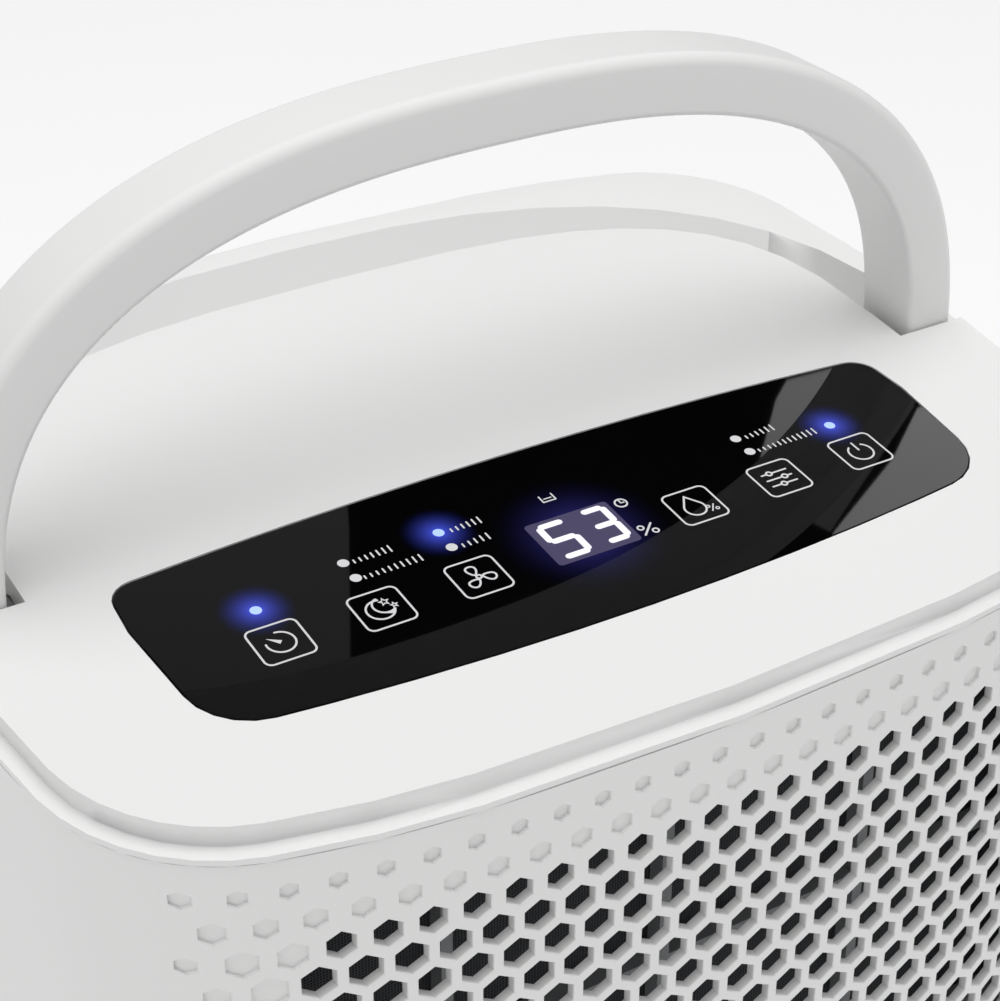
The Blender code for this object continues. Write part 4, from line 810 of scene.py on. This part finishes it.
def ribbon(points, width):
    # an outline round an open line, with round ends
    line = [Vector(point) for point in points]
    left, right = [], []
    for index, here in enumerate(line):
        before, after = line[max(index - 1, 0)], line[min(index + 1, len(line) - 1)]
        along = (after - before).normalized()
        across = Vector((-along.y, along.x)) * width / 2
        left.append(tuple(here + across))
        right.append(tuple(here - across))
    tail = line[-1] - line[-2]
    head = line[0] - line[1]
    ends = []
    for middle, way in ((line[-1], tail), (line[0], head)):
        facing = Vector((1, 0)).angle_signed(way) if way.length else 0
        turns = [-facing + pi * step / 6 - pi / 2 for step in range(1, 6)]
        ends.append([(middle.x + width / 2 * cos(turn), middle.y + width / 2 * sin(turn)) for turn in turns])
    return right + ends[0] + left[::-1] + ends[1]


def flat(loop, low=None, high=None):
    low, high = low or mark["low"], high or mark["high"]
    scale = mark["unit"]
    return prism([(u * scale, v * scale) for u, v in loop], level(low), level(high), "mark")


def hoop(loop, width):
    # a line of even width along a closed loop
    scale, low, high = mark["unit"], mark["low"], mark["high"]
    rings = []
    for grow, height in ((width / 2, low), (width / 2, high), (-width / 2, high), (-width / 2, low)):
        rings.append([(u * scale, v * scale, height) for u, v in offset(loop, grow)])
    return loft(rings, "hoop", hollow=True)


def onGlass(pieces, name, finish):
    shape = bmesh.new()
    for piece in pieces:
        shape.from_mesh(piece.data)
        bpy.data.objects.remove(piece)
    shape.transform(panelFrame)
    return finished(asPiece(name, shape), name, "black_glass", weigh=False, finish=finish)


line = mark["line"] / mark["unit"]


def stroke(points, width=line):
    return flat(ribbon(points, width))


def ring(u, v, radius, width=line):
    return hoop(arc(u, v, radius, 0, 360, 32)[:-1], width)


def timerSign(u):
    hand = [(u - 2.5, 2.3), (u - 0.35, -0.5), (u + 0.5, 0.35)]
    return [stroke(arc(u, 0, 3.4, 88, -188)), flat(hand)]


def nightSign(u):
    outer = arc(u - 0.5, -0.2, 3.3, 75, 345)
    inner = arc(u + 1.0, 1.0, 2.7, 312, 108)
    pieces = [stroke(outer + inner + outer[:1])]
    for su, sv, size in ((u + 1.5, 1.9, 1.15), (u + 3.1, 0.0, 0.8)):
        star = []
        for tip in range(10):
            turn = radians(90 + 36 * tip)
            reach = size if tip % 2 == 0 else size * 0.45
            star.append((su + reach * cos(turn), sv + reach * sin(turn)))
        pieces.append(hoop(star, 0.26))
    return pieces


def fanSign(u):
    pieces = [ring(u, 0, 0.62)]
    for blade in range(3):
        turn = radians(90 + 120 * blade)
        loop = []
        for step in range(20):
            angle = 2 * pi * step / 20
            along, aside = 2.45 + 1.6 * cos(angle), 0.55 + 1.15 * sin(angle) * (1 + 0.4 * cos(angle))
            loop.append((u + along * cos(turn) - aside * sin(turn), along * sin(turn) + aside * cos(turn)))
        pieces.append(hoop(loop, line))
    return pieces


def dropSign(u):
    drop = [(u - 0.6, 4.0)] + arc(u - 0.6, -0.9, 2.7, 140, 400, 26)
    share = [stroke([(u + 2.6, -3.6), (u + 4.2, -1.4)], 0.34), ring(u + 2.5, -1.7, 0.42, 0.28)]
    return [hoop(drop, line), ring(u + 4.3, -3.2, 0.42, 0.28)] + share


def modeSign(u):
    pieces = []
    for row, knob in ((2.4, -1.4), (0.0, 1.6), (-2.4, -0.3)):
        pieces.append(stroke([(u - 3.6, row), (u + knob - 0.8, row)]))
        pieces.append(stroke([(u + knob + 0.8, row), (u + 3.6, row)]))
        pieces.append(ring(u + knob, row, 0.72))
    return pieces


def powerSign(u):
    return [stroke(arc(u, -0.3, 3.2, 125, 415)), stroke([(u, 0.6), (u, 3.7)])]


pad = {"first": 29.96, "pitch": 25.0, "half": 6.18, "corner": 1.7}
signs = ((-3, timerSign), (-2, nightSign), (-1, fanSign), (1, dropSign), (2, modeSign), (3, powerSign))


def makePads():
    pieces = []
    half = pad["half"]
    for place, sign in signs:
        u = (pad["first"] + pad["pitch"] * (abs(place) - 1)) * (1 if place > 0 else -1)
        corners = [(u - half, -half, 1), (u + half, -half, 1), (u + half, half, 1), (u - half, half, 1)]
        loop = rounded([(x, y, pad["corner"]) for x, y, _ in corners], 6)
        pieces += [hoop(loop, line)] + sign(u)
    return onGlass(pieces, "touch_signs", "print")


tallies = (  # start, end, row: small growing marks beside each lamp
    (-52.5, -43.0, 18.2), (-53.0, -38.3, 12.1), (-26.9, -19.1, 18.3),
    (-27.3, -20.4, 12.1), (57.9, 66.1, 18.2), (57.4, 74.8, 12.2),
)


def makeTallies():
    pieces = []
    for start, end, row in tallies:
        count = 1 + int((end - start) / 1.5)
        for index in range(count):
            u = start + (end - start) * index / (count - 1)
            top = row - 1.1 + 0.8 + 1.4 * (index + 1) / count
            pieces.append(stroke([(u, row - 1.1), (u, top)], 0.42))
    cup = [(-1.9, 19.6), (-1.9, 17.2), (1.5, 17.2), (1.5, 19.6)]
    for start, end in zip(cup, cup[1:]):
        pieces.append(stroke([start, end], 0.36))
    pieces.append(stroke([(-1.2, 18.3), (0.8, 18.3)], 0.3))
    pieces.append(stroke([(12.8, -4.3), (16.4, -0.9)], 0.5))
    pieces += [ring(13.2, -1.5, 0.75, 0.42), ring(16.0, -3.8, 0.75, 0.42)]
    pieces += [ring(14.5, 8.8, 1.5, 0.45), stroke([(14.5, 9.9), (14.5, 8.8), (15.3, 8.8)], 0.4)]
    return onGlass(pieces, "lamp_marks", "print")


lampPlaces = {  # u, v, lit
    "timer": (-80.0, 12.1, True),
    "night_high": (-55.0, 18.2, False),
    "night_low": (-55.0, 12.2, False),
    "fan_high": (-30.0, 18.3, True),
    "fan_low": (-30.0, 12.2, False),
    "mode_high": (55.0, 18.2, False),
    "mode_low": (55.0, 12.2, False),
    "power": (80.0, 12.4, True),
}


lampDome = [(0, 0.00001), (0.0014, 0.00001), (0.0013, 0.00008), (0.0007, 0.00014), (0, 0.00016)]


def makeLamps():
    for lit in (True, False):
        pieces = []
        for u, v, isLit in lampPlaces.values():
            if isLit == lit:
                spot = (u * mark["unit"], v * mark["unit"], 0)
                pieces.append(turned(lampDome, spot, "Z", 32))
        # the unlit lamp domes glow with the print finish: painted light
        onGlass(pieces, "lamps_lit" if lit else "lamps_unlit", "blue" if lit else "print")


figure = {"stroke": 1.75, "gap": 0.02}
segments = {"5": "afgcd", "3": "abgcd"}
figures = (("5", -8.5, -1.9, -3.0, 9.1, 3.2), ("3", 3.7, 9.3, -2.6, 9.5, 3.3))


def makeDigits():
    pieces = []
    for name, left, right, bottom, top, middle in figures:
        ends = {
            "a": ((left, top), (right, top)), "g": ((left, middle), (right, middle)),
            "d": ((left, bottom), (right, bottom)), "f": ((left, middle), (left, top)),
            "b": ((right, middle), (right, top)), "c": ((right, bottom), (right, middle)),
            "e": ((left, bottom), (left, middle)),
        }
        for letter in segments[name]:
            start, end = (Vector(place) for place in ends[letter])
            trim = (end - start).normalized() * (figure["stroke"] / 2 + figure["gap"])
            loop = ribbon([tuple(start + trim), tuple(end - trim)], figure["stroke"])
            pieces.append(flat(loop, 0.00008, 0.00014))
    onGlass(pieces, "digits", "digit")
    corners = [(-11.4, -5.2, 1), (11.4, -5.2, 1), (11.4, 11.2, 1), (-11.4, 11.2, 1)]
    onGlass([flat(rounded(corners, 5), 0.00001, 0.00005)], "display_window", "window")


makeGlass()
makePads()
makeTallies()
makeLamps()
makeDigits()
print("control panel made")

# ---- camera, stage and light

camera = {
    "place": (-0.253156, -0.426574, 0.759506),
    "azimuth": -31.321,
    "elevation": 31.047,
    "lens": 82.77,
}
stage = {
    "floor": 6.0,
    "floorGlow": 0.645,
    "floorTone": 0.42,
    "sky": 0.46,
}
lamps = {  # place, aim, size, watts
    "overhead": ((0.1, -0.1, 2.2), (0, 0, 0.4), 1.5, 21),
    "left": ((-1.9, -0.5, 1.3), (0, 0, 0.3), 1.4, 2.5),
}


def backVector():
    azimuth, elevation = radians(camera["azimuth"]), radians(camera["elevation"])
    return Vector((sin(azimuth) * cos(elevation), -cos(azimuth) * cos(elevation), sin(elevation)))


def makeCamera():
    data = bpy.data.cameras.new("camera")
    data.lens = camera["lens"]
    data.sensor_width = 36
    data.clip_start = 0.01
    made = bpy.data.objects.new("camera", data)
    made.location = camera["place"]
    made.rotation_euler = (-backVector()).to_track_quat("-Z", "Y").to_euler()
    bpy.context.scene.collection.objects.link(made)
    bpy.context.scene.camera = made


def makeStage():
    shape = bmesh.new()
    bmesh.ops.create_grid(shape, x_segments=2, y_segments=2, size=stage["floor"])
    floor = asPiece("floor", shape)
    bench = Bench("floor")
    tone = stage["floorTone"] * (0.99 + 0.02 * bench.noise(3.0))
    glow = bench.node("Emission", None, {"Color": grey(1.0), "Strength": stage["floorGlow"]})
    paint = bench.node("BsdfDiffuse", None, {"Color": tone})
    mixed = bench.node("AddShader", None, {0: glow, 1: paint})
    bench.node("OutputMaterial", None, {"Surface": mixed})
    floor.data.materials.append(bench.material)
    world = bpy.data.worlds.new("studio")
    world.use_nodes = True
    world.node_tree.nodes["Background"].inputs["Color"].default_value = grey(1.0)
    world.node_tree.nodes["Background"].inputs["Strength"].default_value = stage["sky"]
    world.cycles_visibility.glossy = False
    bpy.context.scene.world = world
    for name, (spot, aim, size, power) in lamps.items():
        data = bpy.data.lights.new(name, "AREA")
        data.size = size
        data.energy = power
        made = bpy.data.objects.new(name, data)
        made.location = spot
        made.rotation_euler = (Vector(aim) - Vector(spot)).to_track_quat("-Z", "Y").to_euler()
        bpy.context.scene.collection.objects.link(made)
        made.visible_glossy = False


cards = {  # strength, then the outline of its mirror image on the glass
    "window": (3.3, (
        (82.7, 33.9), (100.9, 32.8), (84.7, 22.7), (60.5, 5.7), (45.7, -1.2), (74.5, 27.7),
    )),
    "second window": (4.5, (
        (105.3, 8.5), (85.3, -6.2), (52.7, -23.9), (60, -45), (135, -45), (135, 8.5),
    )),
    "wall": (0.70, (
        (101.5, 33.2), (84.7, 22.0), (60.5, 5.0), (45.7, -2), (52.7, -23.0), (105, 9.5), (125, 30),
    )),
    "left wall": (0.70, (
        (-37.5, 50), (-48, 28.5), (-69.9, -13), (-140, -13), (-140, 50),
    )),
}
cardReach = 3.0


def makeCards():
    # the lit walls that the glass mirrors; nothing but a glossy ray sees them
    normal = (panelFrame.to_3x3() @ Vector((0, 0, 1))).normalized()
    eye = Vector(camera["place"])
    mirrored = eye - normal * 2 * (eye - panelFrame.translation).dot(normal)
    for name, (strength, corners) in cards.items():
        shape = bmesh.new()
        spots = [Vector(onPanel(u * mark["unit"], v * mark["unit"])) for u, v in corners]
        shape.faces.new([shape.verts.new(mirrored + (spot - mirrored) * cardReach) for spot in spots])
        card = asPiece(name, shape)
        bench = Bench(name)
        bench.node("OutputMaterial", None, {"Surface": bench.node("Emission", None, {"Strength": strength})})
        card.data.materials.append(bench.material)
        card.visible_camera = False
        card.visible_diffuse = False
        card.visible_shadow = False
        card.visible_transmission = False


makeCamera()
makeStage()
makeCards()
bpy.context.scene.view_settings.view_transform = "Standard"
bpy.context.scene.view_settings.look = "None"
print("stage made")

# ---- every CAD node that stays gets its finish

for name, node in nodes.items():
    node.data.materials.clear()
    node.data.materials.append(finishes.get(slotOf[name], finishes["black_plastic"]))
